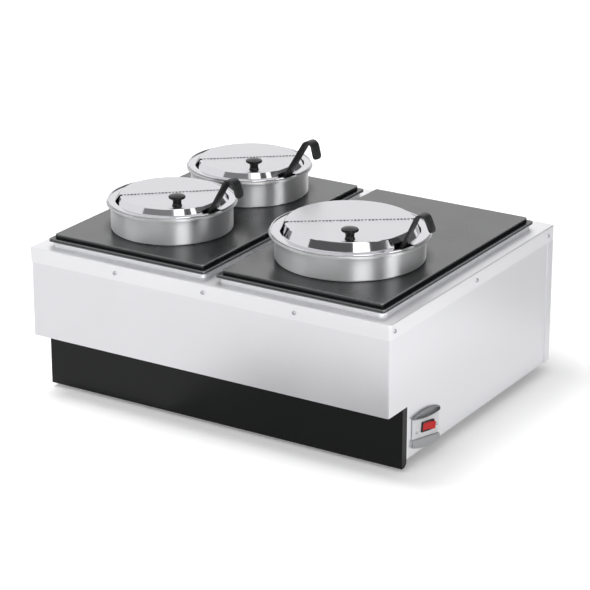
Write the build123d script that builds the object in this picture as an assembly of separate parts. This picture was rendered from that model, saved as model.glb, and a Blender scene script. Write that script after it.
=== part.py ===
from build123d import *
import os
from dataclasses import dataclass
from math import cos, hypot, radians, sin, tan

# Countertop food warmer with two wells. Millimetres, +Z up, +X to the right along the front,
# +Y to the back. The origin is on the counter, under the middle of the deck.

# Adapter plates, which set the width and depth of the body
PLATE_WIDTH = 324.0
PLATE_DEPTH = 527.0
PLATE_GAP = 22.0
PLATE_CORNER = 4.0
PLATE_FLANGE = 5.6
PLATE_STEP = 7.4
PLATE_LEDGE = 8.0
PLATE_WALL = 4.5
PLATE_EDGE = 1.2
PLATE_LAP = 11.0
LIP_DEPTH = 8.0
LIP_CLEARANCE = 1.5
HOLE_RIB = 6.0

# Sheet-metal body
SIDE_MARGIN = 24.0
FRONT_MARGIN = 22.5
BACK_MARGIN = 36.5
SHEET = 1.5
DECK_TOP = 277.0
DECK_CORNER = 5.0
DECK_EDGE = 2.0
SKIRT_HEIGHT = 27.0
PLATFORM_RISE = 7.8
PLATFORM_INSET = 2.0
PLATFORM_CORNER = 14.0
PLATFORM_EDGE = 3.0
OPENING_CORNER = 22.0
WALL_BOTTOM = 20.5
OVERHANG_BOTTOM = 114.5
OVERHANG = 46.5
TOE_THICKNESS = 15.0
TOE_BOTTOM = 8.0
TOE_CORNER = 9.0
RETURN_FLANGE = 16.0
REAR_SHEET = 1.2
REAR_LAP = 20.0
PAN_FLANGE = 18.0

# Fasteners
SCREW_HEAD = 3.8
SCREW_HEAD_HEIGHT = 2.0
SCREW_SHANK = 2.0
SCREW_LENGTH = 8.0
SCREW_CLEARANCE = 0.1
DECK_SCREW_DROP = 14.0
FRONT_SCREW_SPACING = 179.0
SIDE_SCREW_FRONT = 15.0
SIDE_SCREW_BACK = 25.0
REAR_SCREW_PITCH = 85.0

# Feet
FOOT_RADIUS = 20.0
FOOT_TAPER = 3.0
FOOT_INSET_X = 52.0
FOOT_INSET_Y = 42.0
FOOT_BORE = 7.0
FOOT_WEB = 6.0

# Wells and heating
WELL_SHEET = 1.2
WELL_UNDER_INSET = 14.0
WELL_TAPER = 10.0
WELL_FLANGE = 6.5
WELL_BEND = 12.0
ELEMENT_RADIUS = 4.0
ELEMENT_PITCH = 60.0
ELEMENT_TURN = 26.0
ELEMENT_END_GAP = 16.0
ELEMENT_TAIL = 48.0
ELEMENT_GAP = 0.1
CLAMP_WIDTH = 20.0
CLAMP_SHEET = 2.0
CLAMP_POST = 4.0
CLAMP_SPREAD = 110.0
SHIELD_SHEET = 1.0
SHIELD_SIDE_GAP = 16.0
SHIELD_END_GAP = 30.0
SHIELD_DEPTH = 40.0
BOARD_THICKNESS = 20.0
BOARD_CLEARANCE = 0.5
TAIL_HOLE = 8.0
THERMOSTAT_RADIUS = 9.0
THERMOSTAT_HEIGHT = 9.0
THERMOSTAT_COLLAR = 2.0
THERMOSTAT_OFFSET = 70.0
THERMOSTAT_BLADE = 4.5
BLADE_WIDTH = 6.3
BLADE_SHEET = 0.8
BLADE_LENGTH = 8.0

# Mains inlet inside the back
TERMINAL_WAYS = 3
TERMINAL_PITCH = 15.0
TERMINAL_DEPTH = 22.0
TERMINAL_HEIGHT = 20.0
INLET_FROM_SIDE = 127.5
TERMINAL_FROM_BACK = 60.0
GLAND_Z = 62.0
GLAND_NECK = 8.0
GLAND_FLANGE = 12.0
GLAND_FLANGE_HEIGHT = 2.0
GLAND_TAIL = 14.0
WIRE_RADIUS = 1.5
WIRE_BEND = 6.0
WIRE_LEG_SHARE = 0.95
WIRE_GAP = 0.1
WIRE_RUN = 30.0
WIRE_DROP = 8.0
WIRE_LIFT = 13.0

# Control plate on the right side
CONTROL_FROM_TOE = 58.0
CONTROL_HEIGHT = 59.0
CONTROL_FRONT = 44.0
CONTROL_BACK = 40.0
CONTROL_BOW = 4.0
CONTROL_HALF = 27.5
CONTROL_CROWN = 7.0
CONTROL_TIP = 25.0
CONTROL_PLATE = 2.0
LID_RISE = 6.0
LID_EDGE = 2.0
UPPER_LID = 9.0
LOWER_LID = 13.0
LID_BULGE = 3.5
FACE_THICKNESS = 1.5
FACE_CLEARANCE = 0.3
SWITCH_LENGTH = 42.0
SWITCH_HEIGHT = 18.0
SWITCH_BODY = 27.0
SWITCH_WALL = 1.8
SWITCH_FLANGE = 1.8
SWITCH_FLANGE_HEIGHT = 1.6
SWITCH_SHIFT = 6.0
SWITCH_BLADE_PITCH = 10.0
SWITCH_CLEARANCE = 0.25
ROCKER_GAP = 1.4
ROCKER_SIDE_GAP = 0.3
ROCKER_TILT = 9.0
ROCKER_KEEL = 4.0
ROCKER_EDGE = 5.6
ROCKER_VALLEY = 3.4
ROCKER_PIVOT = 2.0
ROCKER_PIVOT_DEPTH = 3.2
PIVOT_CLEARANCE = 0.05
FACE_SCREW_HEAD = 2.4
FACE_SCREW_FRONT = 27.0
FACE_SCREW_BACK = 34.0

# Insets, covers and ladles
INSET_SHEET = 1.2
INSET_FIT = 1.5
INSET_SHOULDER = 4.0
INSET_TAPER = 5.0
INSET_BEND = 16.0
RIM_BEAD = 2.6
RIM_BEND = 1.5
PAIR_GAP = 14.6
PAIR_BACK = 9.5
COVER_SHEET = 1.0
COVER_GAP = 0.3
COVER_FLARE = 8.0
COVER_EDGE_BEND = 2.5
COVER_CURL = 1.5
COVER_INSET = 2.0
HINGE_SETBACK = 4.0
HINGE_DROP = 0.9
HINGE_END = 4.0
KNUCKLE_RADIUS = 2.0
KNUCKLE_GAP = 0.4
PIN_RADIUS = 1.1
PIN_CLEARANCE = 0.05
RELIEF_WIDTH = 34.0
RELIEF_DROP = 4.0
RELIEF_GAP = 1.5
NOTCH_WIDTH = 34.0
NOTCH_RISE = 6.0
NOTCH_DEPTH = 4.0
KNOB_CAP = 14.8
KNOB_STEM = 9.0
KNOB_HEIGHT = 20.0
KNOB_CAP_HEIGHT = 8.0
KNOB_EDGE = 3.0
KNOB_WAIST = 1.5
STRAP_WIDTH = 16.0
STRAP_SHEET = 2.0
STRAP_TOP = 40.0
GRIP_WIDTH = 20.5
GRIP_THICKNESS = 4.0
GRIP_BELOW = 46.0
HOOK_RADIUS = 10.9
HOOK_TURN = 132.4
HOOK_LEG = 22.2
HOOK_POINT = 7.0
BOWL_RADIUS = 38.0
BOWL_HEIGHT = 32.0
BOWL_BEND = 24.0
BOWL_LAP = 12.0
BOWL_GAP = 0.3
SEAT_CLEARANCE = 0.9


@dataclass(frozen=True)
class Pot:
    """One inset with its hinged cover and its ladle."""

    name: str
    side: int
    from_centre: tuple
    collar_radius: float
    rim_overhang: float
    collar_height: float
    depth: float
    cover_turn: float
    cover_radius: float
    cover_rise: float
    knuckles: int
    knob_reach: float
    knob_side: float
    notch_angle: float
    ladle_turn: float
    ladle_lean: float
    ladle_reach: float

    @property
    def rim_radius(self):
        """Outer radius of the rolled rim."""
        return self.collar_radius + self.rim_overhang

    @property
    def rim_top(self):
        """Top of the rolled rim above the plate."""
        return self.collar_height + 2 * RIM_BEAD

    @property
    def hole_radius(self):
        """Hole in the adapter plate that the inset drops through."""
        return self.collar_radius - INSET_SHOULDER

    @property
    def cover_flange(self):
        """Upper face of the cover's flange above the plate."""
        return self.rim_top + COVER_GAP + COVER_SHEET

    @property
    def cover_top(self):
        """Flat top of the cover above the plate."""
        return self.cover_flange + self.cover_rise

    @property
    def hinge_height(self):
        """Axis of the piano hinge above the plate."""
        return self.cover_top - HINGE_DROP

    @property
    def skirt_radius(self):
        """Radius where the cover's skirt meets its flange."""
        return self.cover_radius + COVER_FLARE


SMALL_COLLAR = 106.7
SMALL_OVERHANG = 7.5
PAIR_SPACING = 2 * (SMALL_COLLAR + SMALL_OVERHANG) + PAIR_GAP
SMALL = dict(
    collar_radius=SMALL_COLLAR,
    rim_overhang=SMALL_OVERHANG,
    collar_height=43.7,
    depth=148.0,
    cover_radius=90.0,
    cover_rise=10.4,
    knuckles=13,
    knob_reach=73.0,
    knob_side=0.0,
    notch_angle=54.9,
)
LARGE = dict(
    collar_radius=128.0,
    rim_overhang=9.6,
    collar_height=40.8,
    depth=148.0,
    cover_radius=110.0,
    cover_rise=15.8,
    knuckles=17,
    knob_reach=94.3,
    knob_side=-9.4,
    notch_angle=49.0,
)
POTS = (
    Pot(
        name="front_left",
        side=-1,
        from_centre=(-6.0, PAIR_BACK - PAIR_SPACING / 2),
        cover_turn=41.6,
        ladle_turn=-1.6,
        ladle_lean=29.4,
        ladle_reach=68.2,
        **SMALL,
    ),
    Pot(
        name="rear_left",
        side=-1,
        from_centre=(-2.0, PAIR_BACK + PAIR_SPACING / 2),
        cover_turn=39.1,
        ladle_turn=-6.4,
        ladle_lean=32.4,
        ladle_reach=82.1,
        **SMALL,
    ),
    Pot(
        name="right",
        side=1,
        from_centre=(-8.0, -84.0),
        cover_turn=35.8,
        ladle_turn=3.9,
        ladle_lean=24.8,
        ladle_reach=60.1,
        **LARGE,
    ),
)

# Sizes that follow from the ones above
deck_width = 2 * PLATE_WIDTH + PLATE_GAP + 2 * SIDE_MARGIN
deck_depth = FRONT_MARGIN + PLATE_DEPTH + BACK_MARGIN
deck_front = -deck_depth / 2
deck_back = deck_depth / 2
deck_under = DECK_TOP - SHEET
skirt_bottom = DECK_TOP - SKIRT_HEIGHT
platform_top = DECK_TOP + PLATFORM_RISE
plate_top = platform_top + PLATE_FLANGE + PLATE_STEP
well_x = (PLATE_GAP + PLATE_WIDTH) / 2
well_y = deck_front + FRONT_MARGIN + PLATE_DEPTH / 2
opening_width = PLATE_WIDTH - 2 * PLATE_LAP
opening_depth = PLATE_DEPTH - 2 * PLATE_LAP
wrap_width = deck_width - 2 * SHEET
wrap_depth = deck_depth - 2 * SHEET
wall_x = wrap_width / 2
toe_front = deck_front + OVERHANG + SHEET
toe_back = toe_front + TOE_THICKNESS
well_floor = plate_top - max(pot.depth for pot in POTS) - WELL_UNDER_INSET
well_under = well_floor - WELL_SHEET
well_floor_width = opening_width - 2 * WELL_TAPER
well_floor_depth = opening_depth - 2 * WELL_TAPER
shield_width = well_floor_width - 2 * SHIELD_SIDE_GAP
shield_depth = well_floor_depth - 2 * SHIELD_END_GAP
shield_bottom = well_under - SHIELD_DEPTH
element_z = well_under - ELEMENT_RADIUS - ELEMENT_GAP
element_half = shield_depth / 2 - ELEMENT_END_GAP
tail_y = -element_half
pan_top = WALL_BOTTOM + SHEET
control_y = toe_back + CONTROL_FROM_TOE
switch_y = control_y + SWITCH_SHIFT
face_out = wall_x + CONTROL_PLATE + FACE_THICKNESS
switch_out = face_out + SWITCH_FLANGE_HEIGHT
pivot_x = switch_out - ROCKER_PIVOT_DEPTH
deck_screw_z = DECK_TOP - DECK_SCREW_DROP
inlet_x = INLET_FROM_SIDE - wall_x
terminal_y = deck_back - TERMINAL_FROM_BACK
terminal_wire_z = pan_top + TERMINAL_HEIGHT / 2 + WIRE_RADIUS + WIRE_GAP
blade_end = switch_out - SWITCH_BODY - BLADE_LENGTH
thermostat_end = well_under - THERMOSTAT_HEIGHT - BLADE_LENGTH / 2


def block(width, depth, height, corner, z):
    """Upright block with rounded corners, centred in plan, standing on height z."""
    return Pos(0, 0, z) * extrude(RectangleRounded(width, depth, corner), height)


def offset_points(points, distance):
    """Mitred offset of an open outline, to its left for a positive distance."""
    normals = []
    for (x0, y0), (x1, y1) in zip(points, points[1:]):
        length = hypot(x1 - x0, y1 - y0)
        normals.append(((y0 - y1) / length, (x1 - x0) / length))
    moved = []
    for index, (x, y) in enumerate(points):
        ax, ay = normals[max(index - 1, 0)]
        bx, by = normals[min(index, len(normals) - 1)]
        share = distance / (1 + ax * bx + ay * by)
        moved.append((x + share * (ax + bx), y + share * (ay + by)))
    return moved


def sheet_section(points, thickness, bends):
    """Section of a bent sheet whose thickness lies to the left of an outline, with inside bend radii."""
    far = offset_points(points, thickness)
    near_radii = []
    far_radii = []
    for (x0, y0), (x1, y1), (x2, y2), bend in zip(points, points[1:], points[2:], bends):
        left = (x1 - x0) * (y2 - y1) > (y1 - y0) * (x2 - x1)
        near_radii.append(bend + thickness if left else bend)
        far_radii.append(bend if left else bend + thickness)
    near_edge = FilletPolyline(*points, radius=near_radii)
    far_edge = FilletPolyline(*far, radius=far_radii)
    start = Line(points[0], far[0])
    end = Line(points[-1], far[-1])
    return make_face(near_edge.edges() + far_edge.edges() + start.edges() + end.edges())


def turned(section):
    """Solid of revolution about Z from a section drawn as radius and height."""
    return revolve(Plane.XZ * section, axis=Axis.Z)


def screw(head_radius, length):
    """Pan-head screw along Z, with its head above z = 0 and its shank below."""
    head = Cylinder(head_radius, SCREW_HEAD_HEIGHT, align=(Align.CENTER, Align.CENTER, Align.MIN))
    head = fillet(head.edges().group_by(Axis.Z)[-1], SCREW_HEAD_HEIGHT / 2)
    shank = Cylinder(SCREW_SHANK, length, align=(Align.CENTER, Align.CENTER, Align.MAX))
    return head + shank


def screw_hole(length):
    """Clearance hole along Z for a screw's shank, centred on z = 0."""
    return Cylinder(SCREW_SHANK + SCREW_CLEARANCE, length)


def deck_screw_seats():
    """Places of the screws round the deck's skirt, each with Z pointing out of the skirt."""
    seats = []
    for x in (-FRONT_SCREW_SPACING, 0, FRONT_SCREW_SPACING):
        seats.append(Pos(x, deck_front, deck_screw_z) * Rot(90, 0, 0))
        seats.append(Pos(x, deck_back, deck_screw_z) * Rot(-90, 0, 0))
    for y in (deck_front + SIDE_SCREW_FRONT, 0, deck_back - SIDE_SCREW_BACK):
        seats.append(Pos(deck_width / 2, y, deck_screw_z) * Rot(0, 90, 0))
        seats.append(Pos(-deck_width / 2, y, deck_screw_z) * Rot(0, -90, 0))
    return seats


def rear_screw_seats():
    """Places of the screws in the rear panel, each with Z pointing backwards."""
    middle = (WALL_BOTTOM + skirt_bottom) / 2
    x = wall_x - RETURN_FLANGE / 2
    y = wrap_depth / 2 + REAR_SHEET
    heights = (middle - REAR_SCREW_PITCH, middle, middle + REAR_SCREW_PITCH)
    return [Pos(side * x, y, z) * Rot(-90, 0, 0) for side in (-1, 1) for z in heights]


def foot_seats():
    """Places of the four feet on the counter."""
    x = wall_x - FOOT_INSET_X
    front = toe_back + FOOT_INSET_Y
    back = wrap_depth / 2 - FOOT_INSET_Y
    return [Pos(side * x, y, 0) for side in (-1, 1) for y in (front, back)]


def well_seats():
    """Centres of the two wells in plan, left then right."""
    return [Pos(-well_x, well_y, 0), Pos(well_x, well_y, 0)]


def make_top_deck():
    """Deck sheet with a turned-down skirt and a raised platform round each well opening."""
    platform_width = PLATE_WIDTH - 2 * PLATFORM_INSET
    platform_depth = PLATE_DEPTH - 2 * PLATFORM_INSET
    deck = block(deck_width, deck_depth, SKIRT_HEIGHT, DECK_CORNER, skirt_bottom)
    deck = fillet(deck.edges().group_by(Axis.Z)[-1], DECK_EDGE)
    platform = block(platform_width, platform_depth, PLATFORM_RISE, PLATFORM_CORNER, DECK_TOP)
    platform = fillet(platform.edges().group_by(Axis.Z)[-1], PLATFORM_EDGE)
    hollow = block(
        platform_width - 2 * SHEET,
        platform_depth - 2 * SHEET,
        PLATFORM_RISE,
        PLATFORM_CORNER - SHEET,
        deck_under,
    )
    opening = block(opening_width, opening_depth, 2 * SKIRT_HEIGHT, OPENING_CORNER, skirt_bottom)
    under = block(wrap_width, wrap_depth, SKIRT_HEIGHT - SHEET, DECK_CORNER - SHEET, skirt_bottom)
    deck += [seat * platform for seat in well_seats()]
    cuts = [under]
    cuts += [seat * hollow for seat in well_seats()]
    cuts += [seat * opening for seat in well_seats()]
    cuts += [seat * screw_hole(4 * SHEET) for seat in deck_screw_seats()]
    return deck - cuts


def make_body_wrap():
    """Front and sides bent from one sheet, cut back below the overhang, with flanges turned in at its ends."""
    front = -wrap_depth / 2
    back = wrap_depth / 2
    inner = wall_x - RETURN_FLANGE
    bend = DECK_CORNER - 2 * SHEET
    right_half = [(wall_x, front), (wall_x, back), (inner, back)]
    left_half = [(-x, y) for x, y in reversed(right_half)]
    upper_section = sheet_section(left_half + right_half, SHEET, [bend] * 4)
    upper = Pos(0, 0, OVERHANG_BOTTOM) * extrude(upper_section, deck_under - OVERHANG_BOTTOM)
    side_outline = [(inner, toe_back), (wall_x, toe_back), (wall_x, back), (inner, back)]
    side_section = sheet_section(side_outline, SHEET, [bend] * 2)
    lower = Pos(0, 0, WALL_BOTTOM) * extrude(side_section, OVERHANG_BOTTOM - WALL_BOTTOM)
    sheet = block(wrap_width - SHEET, wrap_depth - SHEET, SHEET, bend + SHEET / 2, OVERHANG_BOTTOM)
    floor = sheet & Pos(0, toe_back + SHEET, OVERHANG_BOTTOM) * Box(
        wrap_width, wrap_depth, wrap_width, align=(Align.CENTER, Align.MAX, Align.CENTER)
    )
    cuts = [seat * screw_hole(6 * SHEET) for seat in deck_screw_seats() + rear_screw_seats()]
    cuts.append(switch_opening())
    return upper + [lower, mirror(lower, about=Plane.YZ), floor] - cuts


def make_rear_panel():
    """Back panel whose side flanges lap over the side walls."""
    back = wrap_depth / 2
    lap = back - REAR_LAP
    outline = [(wall_x, lap), (wall_x, back), (-wall_x, back), (-wall_x, lap)]
    section = sheet_section(outline, -REAR_SHEET, [DECK_CORNER - SHEET] * 2)
    panel = Pos(0, 0, WALL_BOTTOM) * extrude(section, skirt_bottom - WALL_BOTTOM)
    cuts = [seat * screw_hole(6 * SHEET) for seat in rear_screw_seats()]
    cuts.append(gland_seat() * Cylinder(GLAND_NECK, 4 * REAR_SHEET))
    return panel - cuts


def make_toe_panel():
    """Black kick panel under the overhang, a shallow pan open to the back."""
    height = OVERHANG_BOTTOM - TOE_BOTTOM
    middle = (TOE_BOTTOM + OVERHANG_BOTTOM) / 2
    outer = Pos(0, (toe_front + toe_back) / 2, middle) * Box(wrap_width, TOE_THICKNESS, height)
    corners = outer.edges().filter_by(Axis.X).group_by(Axis.Z)[0].sort_by(Axis.Y)
    outer = fillet(corners[-1], TOE_CORNER)
    floor = TOE_BOTTOM + SHEET
    ceiling = OVERHANG_BOTTOM - SHEET
    hollow = make_face(
        Polyline(
            (toe_front + SHEET, floor),
            (toe_back - TOE_CORNER, floor),
            (toe_back, floor + TOE_CORNER),
            (toe_back, ceiling),
            (toe_front + SHEET, ceiling),
            close=True,
        )
    )
    return outer - extrude(Plane.YZ * hollow, wrap_width / 2 - SHEET, both=True)


def make_base_pan():
    """Bottom pan with turned-up edges, closed in by the walls and the toe panel."""
    width = wrap_width - 2 * SHEET
    front = toe_back + SHEET
    depth = wrap_depth / 2 - SHEET - front
    middle = front + depth / 2
    outer = Pos(0, middle, 0) * block(width, depth, PAN_FLANGE, DECK_CORNER, WALL_BOTTOM)
    inner = Pos(0, middle, 0) * block(
        width - 2 * SHEET, depth - 2 * SHEET, PAN_FLANGE, DECK_CORNER - SHEET, pan_top
    )
    return outer - inner - [seat * Pos(0, 0, pan_top) * screw_hole(4 * SHEET) for seat in foot_seats()]


def make_feet():
    """Four tapered rubber feet with a recess for the screw."""
    profile = make_face(
        Polyline(
            (SCREW_SHANK + SCREW_CLEARANCE, FOOT_WEB),
            (FOOT_BORE, FOOT_WEB),
            (FOOT_BORE, 0),
            (FOOT_RADIUS - FOOT_TAPER, 0),
            (FOOT_RADIUS, WALL_BOTTOM),
            (SCREW_SHANK + SCREW_CLEARANCE, WALL_BOTTOM),
            close=True,
        )
    )
    foot = turned(profile)
    return Part() + [seat * foot for seat in foot_seats()]


def make_foot_screws():
    """Screws that hold the feet to the base pan, heads up inside the feet's recesses."""
    one = Pos(0, 0, FOOT_WEB) * Rot(180, 0, 0) * screw(SCREW_HEAD, WALL_BOTTOM - FOOT_WEB + SCREW_LENGTH)
    return Part() + [seat * one for seat in foot_seats()]


def make_deck_screws():
    """Screws round the deck's skirt."""
    return Part() + [seat * screw(SCREW_HEAD, SCREW_LENGTH) for seat in deck_screw_seats()]


def make_rear_screws():
    """Screws that hold the rear panel to the return flanges."""
    return Part() + [seat * screw(SCREW_HEAD, SCREW_LENGTH) for seat in rear_screw_seats()]


def well_shell(grow, top, bottom):
    """Tapered well form between two heights, grown outwards by a wall."""
    mouth = Pos(0, 0, top) * RectangleRounded(
        opening_width + 2 * grow, opening_depth + 2 * grow, OPENING_CORNER + grow
    )
    floor = Pos(0, 0, bottom) * RectangleRounded(
        well_floor_width + 2 * grow, well_floor_depth + 2 * grow, OPENING_CORNER + grow
    )
    shell = loft([floor, mouth])
    return fillet(shell.edges().group_by(Axis.Z)[0], WELL_BEND + grow)


def make_well(seat):
    """Deep-drawn water well hung under a platform by its flange."""
    top = platform_top - SHEET
    flange = block(
        opening_width + 2 * WELL_FLANGE,
        opening_depth + 2 * WELL_FLANGE,
        WELL_SHEET,
        OPENING_CORNER + WELL_FLANGE,
        top - WELL_SHEET,
    )
    outer = well_shell(WELL_SHEET, top, well_under)
    inner = well_shell(0, top, well_floor)
    return seat * (flange + outer - inner)


def element_rows():
    """Rows of the serpentine heating element across the well."""
    return [(index - 1.5) * ELEMENT_PITCH for index in range(4)]


def make_element(seat):
    """Tubular heating element in four rows, with its two tails turned down."""
    rows = element_rows()
    points = [(rows[0], tail_y, element_z - ELEMENT_TAIL)]
    for index, x in enumerate(rows):
        ends = (tail_y, element_half) if index % 2 == 0 else (element_half, tail_y)
        points += [(x, y, element_z) for y in ends]
    points.append((rows[-1], tail_y, element_z - ELEMENT_TAIL))
    tail_bend = 3 * ELEMENT_RADIUS
    radii = [tail_bend] + [ELEMENT_TURN] * (len(points) - 4) + [tail_bend]
    path = FilletPolyline(*points, radius=radii)
    section = Plane(origin=path @ 0, z_dir=path % 0) * Circle(ELEMENT_RADIUS)
    return seat * sweep(section, path=path)


def make_element_clamp(seat):
    """Two cross bars that press the element to the well, each on three posts welded to the well."""
    drop = 2 * (ELEMENT_RADIUS + ELEMENT_GAP)
    rows = element_rows()
    posts = [(a + b) / 2 for a, b in zip(rows, rows[1:])]
    length = rows[-1] - rows[0] + CLAMP_WIDTH
    bar = Box(length, CLAMP_WIDTH, CLAMP_SHEET, align=(Align.CENTER, Align.CENTER, Align.MAX))
    post = Cylinder(CLAMP_POST, drop, align=(Align.CENTER, Align.CENTER, Align.MIN))
    clamp = Pos(0, 0, well_under - drop) * (bar + [Pos(x, 0, 0) * post for x in posts])
    return seat * (Part() + [Pos(0, y, 0) * clamp for y in (-CLAMP_SPREAD, CLAMP_SPREAD)])


def wire_holes(height):
    """Holes for the element's tails and for the thermostat's wires."""
    rows = element_rows()
    deep = 2 * SHIELD_DEPTH
    holes = [Pos(x, tail_y, height) * Cylinder(TAIL_HOLE, deep) for x in (rows[0], rows[-1])]
    return holes + [Pos(0, THERMOSTAT_OFFSET, height) * Cylinder(THERMOSTAT_RADIUS, deep)]


def make_heat_shield(seat):
    """Pan under a well that holds the insulation, its rim welded to the well's underside."""
    outer = block(shield_width, shield_depth, SHIELD_DEPTH, DECK_CORNER, shield_bottom)
    inner = block(
        shield_width - 2 * SHIELD_SHEET,
        shield_depth - 2 * SHIELD_SHEET,
        SHIELD_DEPTH,
        DECK_CORNER - SHIELD_SHEET,
        shield_bottom + SHIELD_SHEET,
    )
    return seat * (outer - inner - wire_holes(shield_bottom))


def make_insulation(seat):
    """Insulation board lying in the heat shield."""
    trim = 2 * (SHIELD_SHEET + BOARD_CLEARANCE)
    board = block(
        shield_width - trim, shield_depth - trim, BOARD_THICKNESS, DECK_CORNER, shield_bottom + SHIELD_SHEET
    )
    return seat * (board - wire_holes(shield_bottom))


def make_thermostat(seat):
    """Snap-disc thermostat against the well's underside, with two blade terminals."""
    hang = (Align.CENTER, Align.CENTER, Align.MAX)
    cup = Cylinder(THERMOSTAT_RADIUS, THERMOSTAT_HEIGHT, align=hang)
    collar = Cylinder(THERMOSTAT_RADIUS + THERMOSTAT_COLLAR, SHIELD_SHEET, align=hang)
    blade = Box(BLADE_WIDTH, BLADE_SHEET, THERMOSTAT_HEIGHT + BLADE_LENGTH / 2, align=hang)
    blades = [Pos(0, y, 0) * blade for y in (-THERMOSTAT_BLADE, THERMOSTAT_BLADE)]
    return seat * Pos(0, THERMOSTAT_OFFSET, well_under) * (cup + collar + blades)


def gland_seat():
    """Place of the mains gland on the rear panel, with Z pointing backwards."""
    return Pos(inlet_x, wrap_depth / 2 + REAR_SHEET, GLAND_Z) * Rot(-90, 0, 0)


def make_cord_gland():
    """Snap-in cord gland, its mouth closed by a membrane."""
    flange = Cylinder(GLAND_FLANGE, GLAND_FLANGE_HEIGHT, align=(Align.CENTER, Align.CENTER, Align.MIN))
    flange = chamfer(flange.edges().group_by(Axis.Z)[-1], GLAND_FLANGE_HEIGHT / 2)
    neck = Cylinder(GLAND_NECK, REAR_SHEET, align=(Align.CENTER, Align.CENTER, Align.MAX))
    tail = Pos(0, 0, -REAR_SHEET) * Cylinder(
        GLAND_FLANGE - 2, GLAND_TAIL, align=(Align.CENTER, Align.CENTER, Align.MAX)
    )
    return gland_seat() * (flange + neck + tail)


def way_x(way):
    """Middle of one way of the terminal block across the body."""
    return inlet_x + (way - (TERMINAL_WAYS - 1) / 2) * TERMINAL_PITCH


def make_terminal_block():
    """Three-way terminal block on the base pan, with a barrier between the ways."""
    length = TERMINAL_WAYS * TERMINAL_PITCH
    body = Box(length + SHEET, TERMINAL_DEPTH, TERMINAL_HEIGHT, align=(Align.CENTER, Align.CENTER, Align.MIN))
    pocket = Pos(0, 0, TERMINAL_HEIGHT / 2) * Box(
        TERMINAL_PITCH - SHEET, TERMINAL_DEPTH, TERMINAL_HEIGHT, align=(Align.CENTER, Align.CENTER, Align.MIN)
    )
    pockets = [Pos(way_x(way) - inlet_x, 0, 0) * pocket for way in range(TERMINAL_WAYS)]
    return Pos(inlet_x, terminal_y, pan_top) * (body - pockets)


def control_outline():
    """Outline of the control plate in the side wall's plane, straight towards the front."""
    crown = CONTROL_HALF + CONTROL_CROWN
    rear = CONTROL_BACK + CONTROL_BOW
    back = ThreePointArc((CONTROL_BACK, -CONTROL_TIP), (rear, 0), (CONTROL_BACK, CONTROL_TIP))
    top = ThreePointArc((CONTROL_BACK, CONTROL_TIP), (0, crown), (-CONTROL_FRONT, CONTROL_HALF))
    front = Line((-CONTROL_FRONT, CONTROL_HALF), (-CONTROL_FRONT, -CONTROL_HALF))
    bottom = ThreePointArc((-CONTROL_FRONT, -CONTROL_HALF), (0, -crown), (CONTROL_BACK, -CONTROL_TIP))
    return make_face(back.edges() + top.edges() + front.edges() + bottom.edges())


def control_band(shrink):
    """Pale band between the two lids, drawn wider than the plate so that it cuts across it."""
    upper = CONTROL_HALF - UPPER_LID - shrink
    lower = -CONTROL_HALF + LOWER_LID + shrink
    left = -2 * CONTROL_FRONT
    right = 2 * CONTROL_BACK
    top = ThreePointArc((right, upper + LID_BULGE), (0, upper - LID_BULGE), (left, upper + LID_BULGE))
    crest = lower + LID_BULGE / 2
    bottom = ThreePointArc((left, lower - LID_BULGE), (0, crest), (right, lower - 4 * LID_BULGE))
    sides = [Line(top @ 1, bottom @ 0), Line(bottom @ 1, top @ 0)]
    return make_face(top.edges() + bottom.edges() + sides[0].edges() + sides[1].edges())


def on_wall(sketch, out, height):
    """Extrude a control-plate sketch outwards from the right wall, starting a distance out of it."""
    plane = Plane(origin=(wall_x + out, control_y, CONTROL_HEIGHT), x_dir=(0, 1, 0), z_dir=(1, 0, 0))
    return extrude(plane * sketch, height)


def switch_opening():
    """Opening for the switch's body through the control plate and the wall."""
    length = SWITCH_LENGTH + 2 * SWITCH_CLEARANCE
    height = SWITCH_HEIGHT + 2 * SWITCH_CLEARANCE
    return Pos(wall_x, switch_y, CONTROL_HEIGHT) * Box(4 * SWITCH_WALL + 4 * LID_RISE, length, height)


def face_screw_seats():
    """Places of the two screws in the control face, each with Z pointing out of the wall."""
    places = (control_y - FACE_SCREW_FRONT, control_y + FACE_SCREW_BACK)
    return [Pos(face_out, y, CONTROL_HEIGHT) * Rot(0, 90, 0) for y in places]


def make_control_bezel():
    """Moulded control plate with two raised lids, one over and one under the switch."""
    plate = on_wall(control_outline(), 0, CONTROL_PLATE)
    lids = on_wall(control_outline() - control_band(0), CONTROL_PLATE, LID_RISE)
    rounded = lids.edges().group_by(Axis.X)[-1]
    lids = fillet(rounded, LID_EDGE)
    cuts = [switch_opening()]
    cuts += [seat * screw_hole(8 * CONTROL_PLATE) for seat in face_screw_seats()]
    return plate + lids - cuts


def make_control_face():
    """Pale face plate lying between the lids."""
    inner = offset(control_outline(), -FACE_CLEARANCE)
    face = on_wall(inner & control_band(FACE_CLEARANCE), CONTROL_PLATE, FACE_THICKNESS)
    return face - ([switch_opening()] + [seat * screw_hole(8 * CONTROL_PLATE) for seat in face_screw_seats()])


def make_face_screws():
    """Small screws that hold the control face and plate to the wall."""
    length = CONTROL_PLATE + FACE_THICKNESS
    return Part() + [seat * screw(FACE_SCREW_HEAD, length) for seat in face_screw_seats()]


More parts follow.
